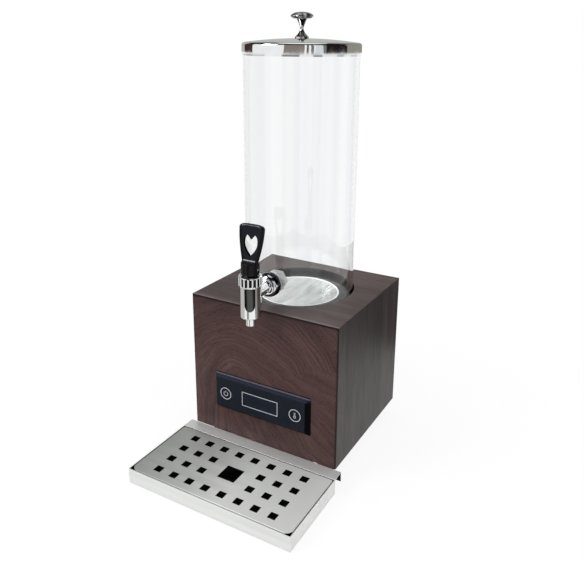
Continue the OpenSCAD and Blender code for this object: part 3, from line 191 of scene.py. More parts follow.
# how far a spot is from the arches' crown: rings above it, and legs that spread below it
def archCoords(spot, centre, turn, squeeze, spread, leg):
    look = walnutLook
    away = placed(spot, move=tuple(-c for c in centre))
    inputs = {"Scale": look["driftScale"], "Detail": look["driftDetail"], "Vector": away}
    drift = addNode(spot.id_data, "ShaderNodeTexNoise", inputs)
    push = vectorMaths("SUBTRACT", drift["Color"], (0.5, 0.5, 0.5))
    pushed = vectorMaths("ADD", away, vectorMaths("MULTIPLY", push, (look["drift"],) * 3))
    across, _, along = splitAxes(placed(pushed, turn=(0, turn, 0)))
    below, above = maths("MINIMUM", along), maths("MAXIMUM", along)
    wide = maths("ADD", maths("MULTIPLY", below, -1 / spread), 1.0)
    rise = maths("ADD", maths("MULTIPLY", above, squeeze[1]), maths("MULTIPLY", below, leg))
    flat = joinAxes(X=maths("DIVIDE", maths("MULTIPLY", across, squeeze[0]), wide), Z=rise)
    way = splitAxes(vectorMaths("NORMALIZE", flat))["X"]
    return joinAxes(X=vectorMaths("LENGTH", flat), Y=maths("MULTIPLY", way, look["turnShare"]),
                    Z=maths("MULTIPLY", along, look["alongShare"]))


def walnutFinish(name, arch=None, run=None, shade=1.0, red=1.0, figure=1.0, edgeShadeAndHighlight=()):
    look = walnutLook
    shader, spot = startFinish(name)
    grain = archCoords(spot, *arch) if arch else placed(spot, size=run)
    broad = cloud(grain, look["broadScale"], 3.0, 0.6)
    fine = cloud(grain, look["fineScale"], 3.0, 0.65)
    pores = cloud(placed(spot, size=run or (0.4, 1, 0.4)), look["poreScale"], 2.0)
    tone = graded(broad, [(0.36, look["dark"]), (0.5, look["mid"]), (0.64, look["light"])])
    reach = vectorMaths("DOT_PRODUCT", grain, (1.0, 1.0, 1.0))
    sway = maths("MULTIPLY", cloud(grain, look["swayScale"], 3.0, 0.6), look["sway"])

    def repeats(count):
        return maths("FRACT", maths("ADD", maths("MULTIPLY", reach, count), sway))

    fade = ranged(cloud(grain, look["fadeScale"], 3.0), look["fadeLow"] * figure, figure, 0.38, 0.6)
    deep = look["lineShade"]
    lines = shaded(repeats(look["rings"]), [
        (0.0, 0.9), (0.06, deep), (0.2, 0.5 + deep / 2), (0.46, 1.0), (0.8, 1.0), (1.0, 0.9)])
    threads = shaded(repeats(look["threads"]), [(0.0, 0.7), (0.3, 1.0), (0.8, 1.0), (1.0, 0.7)])
    streaks = shaded(fine, [(0.36, look["fineShade"]), (0.6, 1.0)])
    specks = graded(pores, [(0.3, look["speck"]), (0.5, look["light"])])
    colour = blended(fade, blended(figure, tone, threads, "MULTIPLY"), lines, "MULTIPLY")
    colour = blended(look["fineShare"] * figure, colour, streaks, "MULTIPLY")
    colour = blended(look["speckShare"] * figure, colour, specks)
    places = splitAxes(spot)
    for axis, first, last, stops in edgeShadeAndHighlight:  # painted shade and highlight: darker or paler towards an edge of the board
        towardEdge = ranged(places[axis], 0.0, 1.0, first, last)
        colour = blended(1.0, colour, shaded(towardEdge, stops), "MULTIPLY")
    inputs = {"Value": shade, "Saturation": red, "Color": colour}
    dimmed = addNode(spot.id_data, "ShaderNodeHueSaturation", inputs)
    feed(shader, {"Base Color": dimmed["Color"], "Roughness": ranged(fine, *look["gloss"]),
                  "Specular IOR Level": look["sheen"]})
    embossed(shader, fine, 0.08, 0.0002)


# painted shade on the front board: darker near its top edge, with a dark line at the mitre seam, and darker at both
# side edges; painted highlight: paler along the top board's front edge
topEdgeShade = ("Z", 0.188, 0.218, [(0.0, 1.0), (0.8, 0.8), (0.88, 0.7), (0.91, 0.16), (1.0, 0.1)])
rightEdgeShade = ("X", 0.106, 0.111, [(0.0, 1.0), (0.45, 0.85), (0.62, 0.3), (1.0, 0.2)])
leftEdgeShade = ("X", -0.106, -0.111, [(0.0, 1.0), (0.5, 0.95), (0.8, 0.75), (1.0, 0.7)])
frontEdgeHighlight = ("Y", -0.036, -0.028, [(0.0, 1.7), (0.42, 1.6), (0.6, 1.0), (1.0, 1.0)])
walnutBoards = {
    "walnutFront": {"arch": ((-0.032, -0.036, 0.096), 28, (0.9, 1.05), 0.07, 0.12), "shade": 0.97,
                    "edgeShadeAndHighlight": (topEdgeShade, rightEdgeShade, leftEdgeShade)},
    "walnutRear": {"arch": ((0.03, 0.164, 0.11), -25, (0.9, 1.05), 0.07, 0.12)},
    # painted shade: the side boards take a darker, greyer copy of the walnut
    "walnutSide": {"run": (1, 1, 0.05), "shade": 0.45, "red": 0.5, "figure": 0.45},
    "walnutTop": {"run": (0.05, 1, 1), "shade": 0.82, "red": 0.6, "figure": 0.5, "edgeShadeAndHighlight": (frontEdgeHighlight,)},
}
for name, look in walnutBoards.items():
    walnutFinish(name, **look)

plainLooks = {  # dark and light colour, gloss, scale of the pattern, and what else differs
    "sawnPine": ((190, 152, 108), (214, 178, 134), (0.55, 0.75), 40, {"stretch": (0.2, 1, 1), "bump": 0.2}),
    "satinSteel": ((212, 213, 211), (226, 227, 225), (0.28, 0.38), 90,
                   {"stretch": brushed, "metal": 0.5, "bump": 0.03, "depth": shallow}),
    "stripSteel": ((204, 205, 202), (216, 217, 214), (0.4, 0.5), 90,
                   {"stretch": brushed, "metal": 0.08, "bump": 0.03, "depth": shallow}),
    # painted highlight: a pale rim round the tank's floor plate
    "rimSteel": ((232, 233, 232), (244, 245, 244), (0.3, 0.4), 120, {"metal": 0.1, "bump": 0.02}),
    "holeShade": ((5, 5, 6), (9, 9, 10), (0.7, 0.85), 200, {"bump": 0.02, "specular": 0.0}),
    # painted shade: a dark finish for the tray's inside and the grille's underside, where little light reaches
    "wetSump": ((16, 16, 16), (26, 26, 26), (0.6, 0.75), 120, {"bump": 0.03, "specular": 0.1}),
    "screwSteel": ((170, 170, 168), (196, 196, 195), (0.28, 0.4), 300, {"metal": 1.0}),
    "chrome": ((228, 229, 230), (238, 239, 240), (0.03, 0.06), 60, {"metal": 1.0, "bump": 0.01, "depth": 0.00003}),
    "floorMetal": ((178, 182, 180), (240, 242, 241), (0.1, 0.22), 48,
                   {"stretch": (1, 0.22, 1), "metal": 1.0, "bump": 0.16, "depth": 0.0005}),
    "glossBlack": ((8, 8, 10), (14, 14, 17), (0.1, 0.18), 200, {"bump": 0.02, "specular": 0.16}),
    # painted reflection: a dark navy for the lever's dished faces
    "glossNavy": ((6, 8, 15), (10, 13, 24), (0.16, 0.24), 200, {"bump": 0.02, "specular": 0.16}),
    "flankShade": ((26, 27, 26), (44, 45, 43), (0.1, 0.2), 150,
                   {"stretch": (1, 1, 0.1), "metal": 1.0, "bump": 0.02, "depth": shallow}),
    "panelBlack": ((12, 19, 29), (18, 26, 37), (0.3, 0.38), 220, {"bump": 0.02, "specular": 0.1}),
    "seamShade": ((34, 20, 20), (46, 28, 28), (0.5, 0.6), 150,
                  {"stretch": (0.1, 1, 1), "bump": 0.03, "specular": 0.05}),
    # painted highlight for the top board's front edge
    "edgeSheen": ((118, 108, 106), (136, 127, 125), (0.4, 0.5), 150,
                  {"stretch": (0.1, 1, 1), "bump": 0.03, "specular": 0.1}),
    # painted highlight: paler and glossier than the black lever
    "leverGlint": ((40, 42, 50), (58, 60, 68), (0.14, 0.2), 200, {"bump": 0.02}),
    # painted reflections: chrome mottled dark and pale at random
    "knobChrome": ((44, 42, 42), (240, 241, 242), (0.03, 0.06), 210,
                   {"stretch": (1, 1, 0.6), "metal": 1.0, "bump": 0.02}),
    "smokedLens": ((13, 21, 33), (19, 28, 41), (0.2, 0.28), 120, {"bump": 0.01, "specular": 0.1}),
    "lineGrey": ((190, 193, 196), (205, 208, 210), (0.4, 0.5), 400, {"bump": 0.02}),
    "moulding": ((20, 20, 21), (29, 29, 30), (0.5, 0.65), 500, {"bump": 0.15, "depth": 0.0001, "specular": 0.15}),
    "rubber": ((22, 22, 23), (31, 31, 32), (0.7, 0.85), 300, {"bump": 0.1, "depth": 0.0001}),
    "silicone": ((224, 226, 225), (236, 238, 237), (0.35, 0.45), 150, {"seeThrough": 0.5, "ior": 1.41}),
    "foam": ((44, 44, 46), (60, 60, 62), (0.85, 0.95), 700, {"bump": 0.4, "depth": 0.0004}),
    "millAluminium": ((190, 192, 194), (208, 210, 212), (0.3, 0.45), 120, {"stretch": (1, 0.1, 1), "metal": 1.0}),
    "ceramic": ((226, 226, 218), (238, 238, 232), (0.5, 0.6), 200, {}),
    "lacquerGreen": ((20, 84, 48), (32, 104, 62), (0.2, 0.35), 180, {"coat": 0.3}),
    "brass": ((190, 160, 96), (212, 184, 120), (0.25, 0.4), 200, {"metal": 1.0}),
    "brownSheath": ((84, 54, 32), (104, 70, 42), (0.4, 0.55), 250, {"bump": 0.1}),
    "redSheath": ((150, 26, 22), (176, 36, 30), (0.4, 0.55), 250, {"bump": 0.1}),
    "acrylic": ((244, 245, 246), (255, 255, 255), (0.0, 0.015), 34,
                {"stretch": (1, 1, 0.01), "detail": 2.0, "bump": 0.0, "specular": 0.7, "seeThrough": 1.0, "ior": 1.49}),
}
for name, (dark, light, gloss, scale, rest) in plainLooks.items():
    plainFinish(name, dark, light, gloss, scale, **rest)

grilleHalf, panelSlope = 0.115, (0.1, 0.1125)
placeFinish(  # painted shade and light: darker towards the left end, palest right of the middle
    "grilleSteelShaded", lambda x, y, z: maths("ADD", maths("MULTIPLY", x, 0.5 / grilleHalf), 0.5),
    [(0.0, (154, 156, 153)), (0.3, (184, 186, 183)), (0.6, (228, 230, 227)), (1.0, (222, 224, 221))],
    0.05, (0.36, 0.46), 90, brushed, metal=0.4, bump=0.03)
placeFinish(  # painted reflection on the sloping edge: black sides, a navy band, and a pale highlight line near its top
    "panelEdge", lambda x, y, z: ranged(z, 0.0, 1.0, *panelSlope),
    [(0.0, (6, 6, 9)), (0.5, (6, 6, 9)), (0.55, (30, 33, 47)), (0.78, (26, 29, 42)), (0.82, (84, 80, 96)),
     (0.88, (84, 80, 96)), (0.92, (5, 5, 7))], 0.01, (0.12, 0.18), 220, specular=0.02)
print("finishes made:", len(finishes))

slotFinish = {
    "walnut_veneer": "walnutFront", "pine": "sawnPine", "sheet_steel": "satinSteel", "plain_steel": "screwSteel",
    "polished_chrome": "chrome", "gloss_black": "glossBlack", "smoked_lens": "smokedLens", "matte_black": "moulding",
    "black_rubber": "rubber", "clear_plastic": "acrylic", "clear_silicone": "silicone", "grey_foam": "foam",
    "bare_aluminium": "millAluminium", "white_ceramic": "ceramic", "green_board": "lacquerGreen",
    "inlet_brass": "brass", "brown_wire": "brownSheath", "red_wire": "redSheath",
}
nodeFinish = {
    "rear_board": "walnutRear", "left_board": "walnutSide", "right_board": "walnutSide", "top_board": "walnutTop",
    "panel_bezel": "panelBlack", "button_left": "panelBlack", "button_right": "panelBlack",
    "tank_floor_plate": "floorMetal", "drip_grille": "grilleSteelShaded", "lid_knob": "knobChrome",
}
nodeSlot = {row["node"]: row["material_slot"] for row in frame["record"]["subparts"]}
bodyOf = {n: b for b, names in frame["record"]["behaviour"]["bodies"].items() for n in names}


def finishOf(node):
    return finishes[nodeFinish.get(node) or slotFinish[nodeSlot[node]]]


def dress(obj, mat):
    if not obj.data.materials:
        obj.data.materials.append(mat)
    for socket in obj.material_slots:
        socket.material = mat


for node, obj in frame["nodes"].items():
    dress(obj, finishOf(node))
print("solids dressed")


# shapes

def addObject(name, data):
    obj = bpy.data.objects.new(name, data)
    scene.collection.objects.link(obj)
    return obj


def solidFrom(bm, name):
    bmesh.ops.recalc_face_normals(bm, faces=bm.faces)
    mesh = bpy.data.meshes.new(name)
    bm.to_mesh(mesh)
    bm.free()
    return addObject(name, mesh)


def bake(obj):  # modifiers into a plain mesh
    graph = bpy.context.evaluated_depsgraph_get()
    mesh = bpy.data.meshes.new_from_object(obj.evaluated_get(graph), depsgraph=graph)
    obj.modifiers.clear()
    obj.data = mesh


def settle(obj, angle=35):  # large flat faces rule the shading of the small ones beside them
    bm = bmesh.new()
    bm.from_mesh(obj.data)
    bmesh.ops.dissolve_degenerate(bm, dist=1e-6, edges=bm.edges)
    bm.normal_update()
    for face in bm.faces:
        face.smooth = True
    for edge in bm.edges:
        edge.smooth = len(edge.link_faces) == 2 and edge.calc_face_angle(0) < math.radians(angle)
    bm.to_mesh(obj.data)
    bm.free()
    weigh = obj.modifiers.new("weigh", "WEIGHTED_NORMAL")
    weigh.keep_sharp = True
    weigh.weight = 80
    bake(obj)


def stand(obj, node, angle=35):  # the piece takes a solid's place
    settle(obj, angle)
    dress(obj, finishOf(node))
    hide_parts(node)
    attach(obj, bodyOf[node])


def paint(obj, **tests):  # a face takes the first finish whose test of its place and normal it passes
    for name in tests:
        obj.data.materials.append(finishes[name])
    for face in obj.data.polygons:
        passed = [test(face.center, face.normal) for test in tests.values()]
        face.material_index = passed.index(True) + 1 if True in passed else 0


def mergedMesh(node, flat=False):
    mesh = frame["nodes"][node].data.copy()
    bm = bmesh.new()
    bm.from_mesh(mesh)
    bmesh.ops.remove_doubles(bm, verts=bm.verts, dist=2e-6)
    if flat:  # broad flat faces become one face each
        bmesh.ops.dissolve_limit(bm, angle_limit=math.radians(0.3), verts=bm.verts, edges=bm.edges)
    bm.to_mesh(mesh)
    bm.free()
    return mesh


def reshape(obj, tools):  # each tool is added to the piece or cut from it, and then removed
    for how, tool in tools:
        change = obj.modifiers.new("change", "BOOLEAN")
        change.operation, change.solver, change.object = how, "EXACT", tool
    bake(obj)
    for how, tool in tools:
        bpy.data.objects.remove(tool)


softEdge = {"turned": 0.0003, "clear": 0.0004, "button": 0.0004, "bezel": 0.0005, "tray": 0.00045}


def softCopy(node, name, edge=0.0, segments=2, flat=False, tools=()):
    obj = addObject(name, mergedMesh(node, flat))
    if edge:
        bevel = obj.modifiers.new("edge", "BEVEL")
        bevel.width, bevel.segments = edge, segments
        bevel.limit_method, bevel.angle_limit = "ANGLE", math.radians(40)
        bake(obj)
    if tools:
        reshape(obj, tools)
    stand(obj, node)
    return obj


def wall(bm, first, second):  # faces between two closed rings
    for i in range(len(first)):
        j = (i + 1) % len(first)
        bm.faces.new((first[i], first[j], second[j], second[i]))


def axisOf(lo, hi):
    return ((lo.x + hi.x) / 2, (lo.y + hi.y) / 2, 0)


def mirrored(half, low, high):  # an outline whose upper end is like its lower one
    return [(r, low + z) for r, z in half] + [(r, high - z) for r, z in reversed(half)]


def lathe(name, outline, turns, centre=(0, 0, 0)):  # outline of (radius, height) points
    bm = bmesh.new()
    rows = []
    for r, z in outline:
        angles = [2 * math.pi * i / turns for i in range(turns if r > 1e-7 else 1)]
        rows.append([bm.verts.new((centre[0] + r * math.cos(a), centre[1] + r * math.sin(a), centre[2] + z))
                     for a in angles])
    for low, high in zip(rows, rows[1:]):
        for i in range(turns):
            j = (i + 1) % turns
            corners = (low[i % len(low)], low[j % len(low)], high[j % len(high)], high[i % len(high)])
            kept = list(dict.fromkeys(corners))
            if len(kept) > 2:
                bm.faces.new(kept)
    bmesh.ops.remove_doubles(bm, verts=bm.verts, dist=1e-7)
    return solidFrom(bm, name)


# what repeats

def shape(tree, kind, inputs, **settings):
    return addNode(tree, "GeometryNode" + kind, inputs, **settings)[0]


def growTree(name, sockets):
    tree = bpy.data.node_groups.new(name, "GeometryNodeTree")
    for label, kind in {"Geometry": "Geometry", **sockets, "Finish": "Material"}.items():
        tree.interface.new_socket(label, in_out="INPUT", socket_type="NodeSocket" + kind)
    tree.interface.new_socket("Geometry", in_out="OUTPUT", socket_type="NodeSocketGeometry")
    return tree, tree.nodes.new("NodeGroupInput").outputs


def endTree(tree, into, geometry):
    solid = shape(tree, "RealizeInstances", {"Geometry": geometry})
    dressed = shape(tree, "SetMaterial", {"Geometry": solid, "Material": into["Finish"]})
    addNode(tree, "NodeGroupOutput", {"Geometry": dressed})
    return tree


def cutTree(tree, into, tools):
    inputs = {"Mesh 1": into["Geometry"], "Mesh 2": tools}
    return endTree(tree, into, shape(tree, "MeshBoolean", inputs, operation="DIFFERENCE", solver="EXACT"))


def copies(tree, points, copy):
    return shape(tree, "InstanceOnPoints", {"Points": points, "Instance": copy})


def copiedObject(tree, into):
    return addNode(tree, "GeometryNodeObjectInfo", {"Object": into["Copy"]})["Geometry"]


def grow(obj, tree, node, values):
    values["Finish"] = finishOf(node)
    mod = obj.modifiers.new("grow", "NODES")
    mod.node_group = tree
    for item in tree.interface.items_tree:
        if item.item_type == "SOCKET" and item.in_out == "INPUT" and item.name in values:
            mod[item.identifier] = values[item.name]
    bake(obj)
    obj.data.materials.clear()
    obj.data.materials.append(values["Finish"])
    for face in obj.data.polygons:
        face.material_index = 0


# tree: a copy of one object at every point of the mesh
def copiesTree():
    tree, into = growTree("copiesAtPoints", {"Copy": "Object"})
    return endTree(tree, into, copies(tree, into["Geometry"], copiedObject(tree, into)))


# tree: copies of one object round a circle, joined to the core
def ringTree():
    tree, into = growTree("copiesRound", {"Copy": "Object", "Count": "Int", "Radius": "Float", "Centre": "Vector"})
    circle = shape(tree, "MeshCircle", {"Vertices": into["Count"], "Radius": into["Radius"]})
    moved = shape(tree, "Transform", {"Geometry": circle, "Translation": into["Centre"]})
    around = copies(tree, moved, copiedObject(tree, into))
    return endTree(tree, into, shape(tree, "JoinGeometry", {"Geometry": [into["Geometry"], around]}))


# tree: a grid of square holes, with the middle four given up for one larger hole
def holesTree():
    tree, into = growTree("squareHoles", {
        "Columns": "Int", "Rows": "Int", "Pitch X": "Float", "Pitch Y": "Float", "Hole": "Float", "Middle": "Float",
        "Depth": "Float", "Centre": "Vector"})

    def block(side):
        return shape(tree, "MeshCube", {"Size": joinAxes(X=side, Y=side, Z=into["Depth"])})

    def reach(count, pitch):
        return maths("MULTIPLY", maths("SUBTRACT", into[count], 1), into[pitch])

    def near(axis, pitch):
        return maths("LESS_THAN", maths("ABSOLUTE", axis), into[pitch])

    grid = shape(tree, "MeshGrid", {
        "Size X": reach("Columns", "Pitch X"), "Size Y": reach("Rows", "Pitch Y"),
        "Vertices X": into["Columns"], "Vertices Y": into["Rows"]})
    x, y, _ = splitAxes(shape(tree, "InputPosition", {}))
    inMiddle = maths("MULTIPLY", near(x, "Pitch X"), near(y, "Pitch Y"))
    kept = shape(tree, "DeleteGeometry", {"Geometry": grid, "Selection": inMiddle})
    holes = copies(tree, kept, block(into["Hole"]))
    both = shape(tree, "JoinGeometry", {"Geometry": [holes, block(into["Middle"])]})
    solid = shape(tree, "RealizeInstances", {"Geometry": both})
    return cutTree(tree, into, shape(tree, "Transform", {"Geometry": solid, "Translation": into["Centre"]}))


# tree: a row of slots cut through a plate
def slotsTree():
    tree, into = growTree("slotRow", {"Count": "Int", "Pitch": "Float", "Size": "Vector", "Centre": "Vector"})
    half = maths("MULTIPLY", maths("SUBTRACT", into["Count"], 1), -0.5)
    first = joinAxes(X=maths("MULTIPLY", half, into["Pitch"]))
    line = shape(tree, "MeshLine", {
        "Count": into["Count"], "Start Location": vectorMaths("ADD", first, into["Centre"]),
        "Offset": joinAxes(X=into["Pitch"])})
    slots = copies(tree, line, shape(tree, "MeshCube", {"Size": into["Size"]}))
    return cutTree(tree, into, shape(tree, "RealizeInstances", {"Geometry": slots}))


# cabinet

tubeLo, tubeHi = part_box("tank_tube")
tankAxis = (tubeLo.y + tubeHi.y) / 2
cabinet = {"edge": 0.0012, "segments": 3, "recessR": 0.085, "lip": 0.002}
boards = {}
for node, name in (("front_board", "frontBoard"), ("rear_board", "rearBoard"), ("left_board", "leftBoard"),
                   ("right_board", "rightBoard"), ("top_board", "topBoard")):
    boards[name] = softCopy(node, name, cabinet["edge"], cabinet["segments"], flat=True)
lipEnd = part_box("top_board")[0].y + cabinet["lip"]


def inRecess(at, way):
    return abs(way.z) < 0.6 and math.hypot(at.x, at.y - tankAxis) < cabinet["recessR"]


def softFront(at, way):
    return way.z > 0.1 and way.y < -0.1


paint(boards["frontBoard"], seamShade=softFront)
# painted highlight on the top board's front edge bevel
paint(boards["topBoard"], holeShade=inRecess, edgeSheen=lambda at, way: at.y < lipEnd and softFront(at, way))
print("cabinet softened")

# tank

tube = {"wall": 0.004, "edge": 0.0006, "turns": 320, "hole": 0.0103, "holeLong": 0.03, "holeSides": 48}
nutLo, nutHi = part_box("tap_nut")
tubeR, e = (tubeHi.x - tubeLo.x) / 2, tube["edge"]
innerR = tubeR - tube["wall"]
outline = mirrored([(innerR, e), (innerR + e * 0.3, e * 0.3), (innerR + e, 0), (tubeR - e, 0),
                    (tubeR - e * 0.3, e * 0.3), (tubeR, e)], tubeLo.z, tubeHi.z)
tubePiece = lathe("tankTube", outline + outline[:1], tube["turns"], (0, tankAxis, 0))
bm = bmesh.new()
bmesh.ops.create_cone(
    bm, cap_ends=True, segments=tube["holeSides"], radius1=tube["hole"], radius2=tube["hole"], depth=tube["holeLong"],
    matrix=Matrix.Translation((0, tubeLo.y, (nutLo.z + nutHi.z) / 2)) @ Matrix.Rotation(math.radians(90), 4, "X"))
reshape(tubePiece, [("DIFFERENCE", solidFrom(bm, "shankHole"))])
stand(tubePiece, "tank_tube")
tubePiece.visible_shadow = False
softCopy("tank_floor_ring", "floorRing", softEdge["clear"]).visible_shadow = False
softCopy("floor_seal", "floorSeal", softEdge["clear"])

plate = {"stepR": 0.0520, "rim": 0.0013, "flatten": 0.6, "sag": 0.0009, "turns": 160}
lo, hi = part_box("tank_floor_plate")
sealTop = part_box("floor_seal")[1].z
plateR, rim, sag = (hi.x - lo.x) / 2, plate["rim"], plate["sag"]
rimMid, rimTall = plateR - rim, rim * plate["flatten"]
outline = [(0, lo.z), (plate["stepR"], lo.z), (plate["stepR"], sealTop), (plateR, sealTop)]
for a in map(math.radians, range(0, 181, 20)):
    outline.append((rimMid + rim * math.cos(a), hi.z - rimTall + rimTall * math.sin(a)))
outline += [(rimMid - rim * 1.6, hi.z - sag), (rimMid * 0.5, hi.z - sag * 1.3), (0, hi.z - sag * 1.4)]
floorPlate = lathe("floorPlate", outline, plate["turns"], axisOf(lo, hi))
stand(floorPlate, "tank_floor_plate", 50)
paint(floorPlate, rimSteel=lambda at, way: (math.hypot(at.x, at.y - tankAxis) > rimMid - rim * 1.05
                                            and at.z > sealTop))
softCopy("lid", "lidCover")

knob = {"capR": 0.0145, "capTall": 0.0088, "capRise": 0.6, "flare": 0.0068, "waist": 0.0023, "waistRise": 0.42,
        "waistLift": 0.002, "foot": 0.009, "footTall": 0.0016, "turns": 96, "steps": 14}
lo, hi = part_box("lid_knob")
foot, waist, flare, capR = knob["foot"], knob["waist"], knob["flare"], knob["capR"]
capLow, capMid = hi.z - knob["capTall"], hi.z - knob["capTall"] * knob["capRise"]
neckLow = lo.z + knob["footTall"]
waistZ = lo.z + (capLow - lo.z) * knob["waistRise"] + knob["waistLift"]
steps = [i / knob["steps"] for i in range(1, knob["steps"] + 1)]
quarter = [math.pi / 2 * s for s in steps]
outline = [(0, lo.z), (foot, lo.z), (foot, neckLow)]
outline += [(waist + (foot - waist) * (1 - s) ** 1.8, neckLow + (waistZ - neckLow) * s) for s in steps]
outline += [(waist + (flare - waist) * s ** 1.5, waistZ + (capLow - waistZ) * s) for s in steps]
outline += [(flare + (capR - flare) * math.sin(a), capMid - (capMid - capLow) * math.cos(a)) for a in quarter]
outline += [(capR * math.cos(a), capMid + (hi.z - capMid) * math.sin(a)) for a in quarter[:-1]]
lidKnob = lathe("lidKnob", outline + [(0, hi.z)], knob["turns"], axisOf(lo, hi))
stand(lidKnob, "lid_knob", 40)
print("tank and lid made")

# tap: the groove in the barrel is filled and cut again, turned towards the right as in the photo

groove = {"turn": 29.0, "axis": -0.06, "bodyR": 0.0135, "proud": 0.00003, "fillR": 0.0094, "fillHalf": 36, "steps": 24,
          "fillBelow": 0.0008, "fillUnder": 0.0003, "cutR": 0.012, "cutOver": 0.0002, "cutTurns": 120, "deep": 0.0036,
          "rise": 0.0225, "top": 0.0525, "shadeHalf": 0.0085, "shadeBelow": 0.0005, "shadeOver": 0.0001,
          "shadeNear": 0.00015}
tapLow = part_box("tap_body")[0].z
bodyR, fillR, cutR, bodyAxis = groove["bodyR"], groove["fillR"], groove["cutR"], groove["axis"]
grooveLow, barrelTop = tapLow + groove["rise"], tapLow + groove["top"]
grooveAway = bodyR + cutR - groove["deep"]
grooveEnd = grooveLow + math.sqrt(cutR ** 2 - (grooveAway - bodyR) ** 2)
grooveTurn = math.radians(groove["turn"])
grooveMid = (grooveAway * math.sin(grooveTurn), bodyAxis - grooveAway * math.cos(grooveTurn))
fillLow, fillHigh, proudR = grooveLow - groove["fillBelow"], barrelTop - groove["fillUnder"], bodyR + groove["proud"]
bm = bmesh.new()
rows = []
for i in range(groove["steps"] + 1):
    a = math.radians(-90 - groove["fillHalf"] + 2 * groove["fillHalf"] * i / groove["steps"])
    rows.append([bm.verts.new((r * math.cos(a), bodyAxis + r * math.sin(a), z)) for r, z in (
        (fillR, fillLow), (proudR, fillLow), (proudR, fillHigh), (fillR, fillHigh))])
for first, second in zip(rows, rows[1:]):
    wall(bm, first, second)
bm.faces.new(rows[0])
bm.faces.new(rows[-1])
grooveFill = solidFrom(bm, "grooveFill")
cutTop = barrelTop + groove["cutOver"]
outline = [(cutR * math.sin(a), grooveEnd - cutR * math.cos(a)) for a in map(math.radians, range(0, 91, 6))]
grooveCut = lathe("grooveCut", outline + [(cutR, cutTop), (0, cutTop)], groove["cutTurns"], (*grooveMid, 0))
tools = [("UNION", grooveFill), ("DIFFERENCE", grooveCut)]
tapPiece = softCopy("tap_body", "tapBody", softEdge["turned"], tools=tools)

flange = {"rise": 0.0395, "front": -0.026, "back": -0.009, "neckR": 0.0105, "shadeFrom": 0.009, "shadeTo": 0.0165}
shankZ = tapLow + flange["rise"]


def acrossGroove(x, y, z):
    across = maths("MULTIPLY", x, math.cos(grooveTurn))
    along = maths("MULTIPLY", maths("SUBTRACT", y, bodyAxis), math.sin(grooveTurn))
    return maths("DIVIDE", maths("ABSOLUTE", maths("ADD", across, along)), groove["shadeHalf"])


def fromShank(x, y, z):
    up = maths("SUBTRACT", z, shankZ)
    square = maths("ADD", maths("MULTIPLY", x, x), maths("MULTIPLY", up, up))
    return ranged(maths("SQRT", square), 0.0, 1.0, flange["shadeFrom"], flange["shadeTo"])


# painted shade and reflection inside the groove: a pale strip down its middle, dark flanks
placeFinish(
    "grooveShade", acrossGroove, [(0.28, (76, 78, 74)), (0.52, (12, 13, 12)), (1.0, (12, 13, 12))],
    0.06, (0.3, 0.4), 150, (1, 1, 0.1), specular=0.06)
placeFinish(  # painted reflections: dark and pale rings round the shank's axis
    "flangeChrome", fromShank, [
        (0.0, (236, 237, 238)), (0.3, (232, 233, 234)), (0.42, (64, 62, 72)), (0.56, (224, 225, 228)),
        (0.72, (206, 207, 212)), (0.86, (54, 52, 62)), (1.0, (46, 44, 52))], 0.1, (0.04, 0.07), 160, metal=1.0)


def inGroove(at, way):
    down = min(0.0, at.z - grooveEnd)
    away = math.sqrt((at.x - grooveMid[0]) ** 2 + (at.y - grooveMid[1]) ** 2 + down ** 2)
    inHeight = grooveLow - groove["shadeBelow"] < at.z < barrelTop + groove["shadeOver"]
    return inHeight and abs(away - cutR) < groove["shadeNear"]


def onFlange(at, way):
    return flange["front"] < at.y < flange["back"] and math.hypot(at.x, at.z - shankZ) > flange["neckR"]


paint(tapPiece, grooveShade=inGroove, flangeChrome=onFlange)
for node, name in (("tap_bonnet", "tapBonnet"), ("tap_outer_washer", "outerWasher"),
                   ("tap_nut", "tapNut"), ("valve_stem", "valveStem"), ("lever_pin", "leverPin")):
    softCopy(node, name, softEdge["turned"])

# the spring is softened and given a mesh of its own
springPiece = softCopy("valve_spring", "valveSpring")
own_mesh(springPiece)

ringNut = {"lobes": 16, "lobeR": 0.0013, "lobeSink": 0.0002, "lobeTurns": 20, "rim": 0.0016, "rimDrop": 0.0004,
           "bead": 0.0006, "inset": 0.0008, "play": 0.00015, "segments": 96, "flank": 0.00012}
lo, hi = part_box("tap_ring_nut")
bonnetLo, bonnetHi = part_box("tap_bonnet")
tapAxis = axisOf(lo, hi)
nutR, tall, bead, rim = (hi.x - lo.x) / 2, hi.z - lo.z, ringNut["bead"], ringNut["rim"]
boreR = (bonnetHi.x - bonnetLo.x) / 2 + ringNut["play"]
core, rimR = nutR - ringNut["lobeR"] + ringNut["lobeSink"], nutR - ringNut["rimDrop"]
outline = mirrored([(boreR, 0), (rimR - bead, 0), (rimR - bead * 0.3, bead * 0.3), (rimR, bead),
                    (rimR, rim - bead * 0.5), (rimR - bead * 0.6, rim), (core, rim + bead * 0.4)], 0, tall)
ringPiece = lathe("ringNut", outline + outline[:1], ringNut["segments"], (tapAxis[0], tapAxis[1], lo.z))
r, barHalf = ringNut["lobeR"], (tall - 2 * ringNut["inset"]) / 2
outline = mirrored([(0, 0), (r * 0.6, 0), (r * 0.9, r * 0.2), (r, r * 0.5)], -barHalf, barHalf)
lobe = lathe("lobeCopy", outline, ringNut["lobeTurns"])
grow(ringPiece, ringTree(), "tap_ring_nut", {
    "Copy": lobe, "Count": ringNut["lobes"], "Radius": core - ringNut["lobeSink"],
    "Centre": (tapAxis[0], tapAxis[1], (lo.z + hi.z) / 2)})
bpy.data.objects.remove(lobe)
stand(ringPiece, "tap_ring_nut", 40)


def betweenLobes(at, way):
    return abs(math.hypot(at.x - tapAxis[0], at.y - tapAxis[1]) - core) < ringNut["flank"] and abs(way.z) < 0.4


paint(ringPiece, flankShade=betweenLobes)
print("tap made")

# lever: a round-edged paddle, dished on both broad faces, with a heart through its web, set on the heel

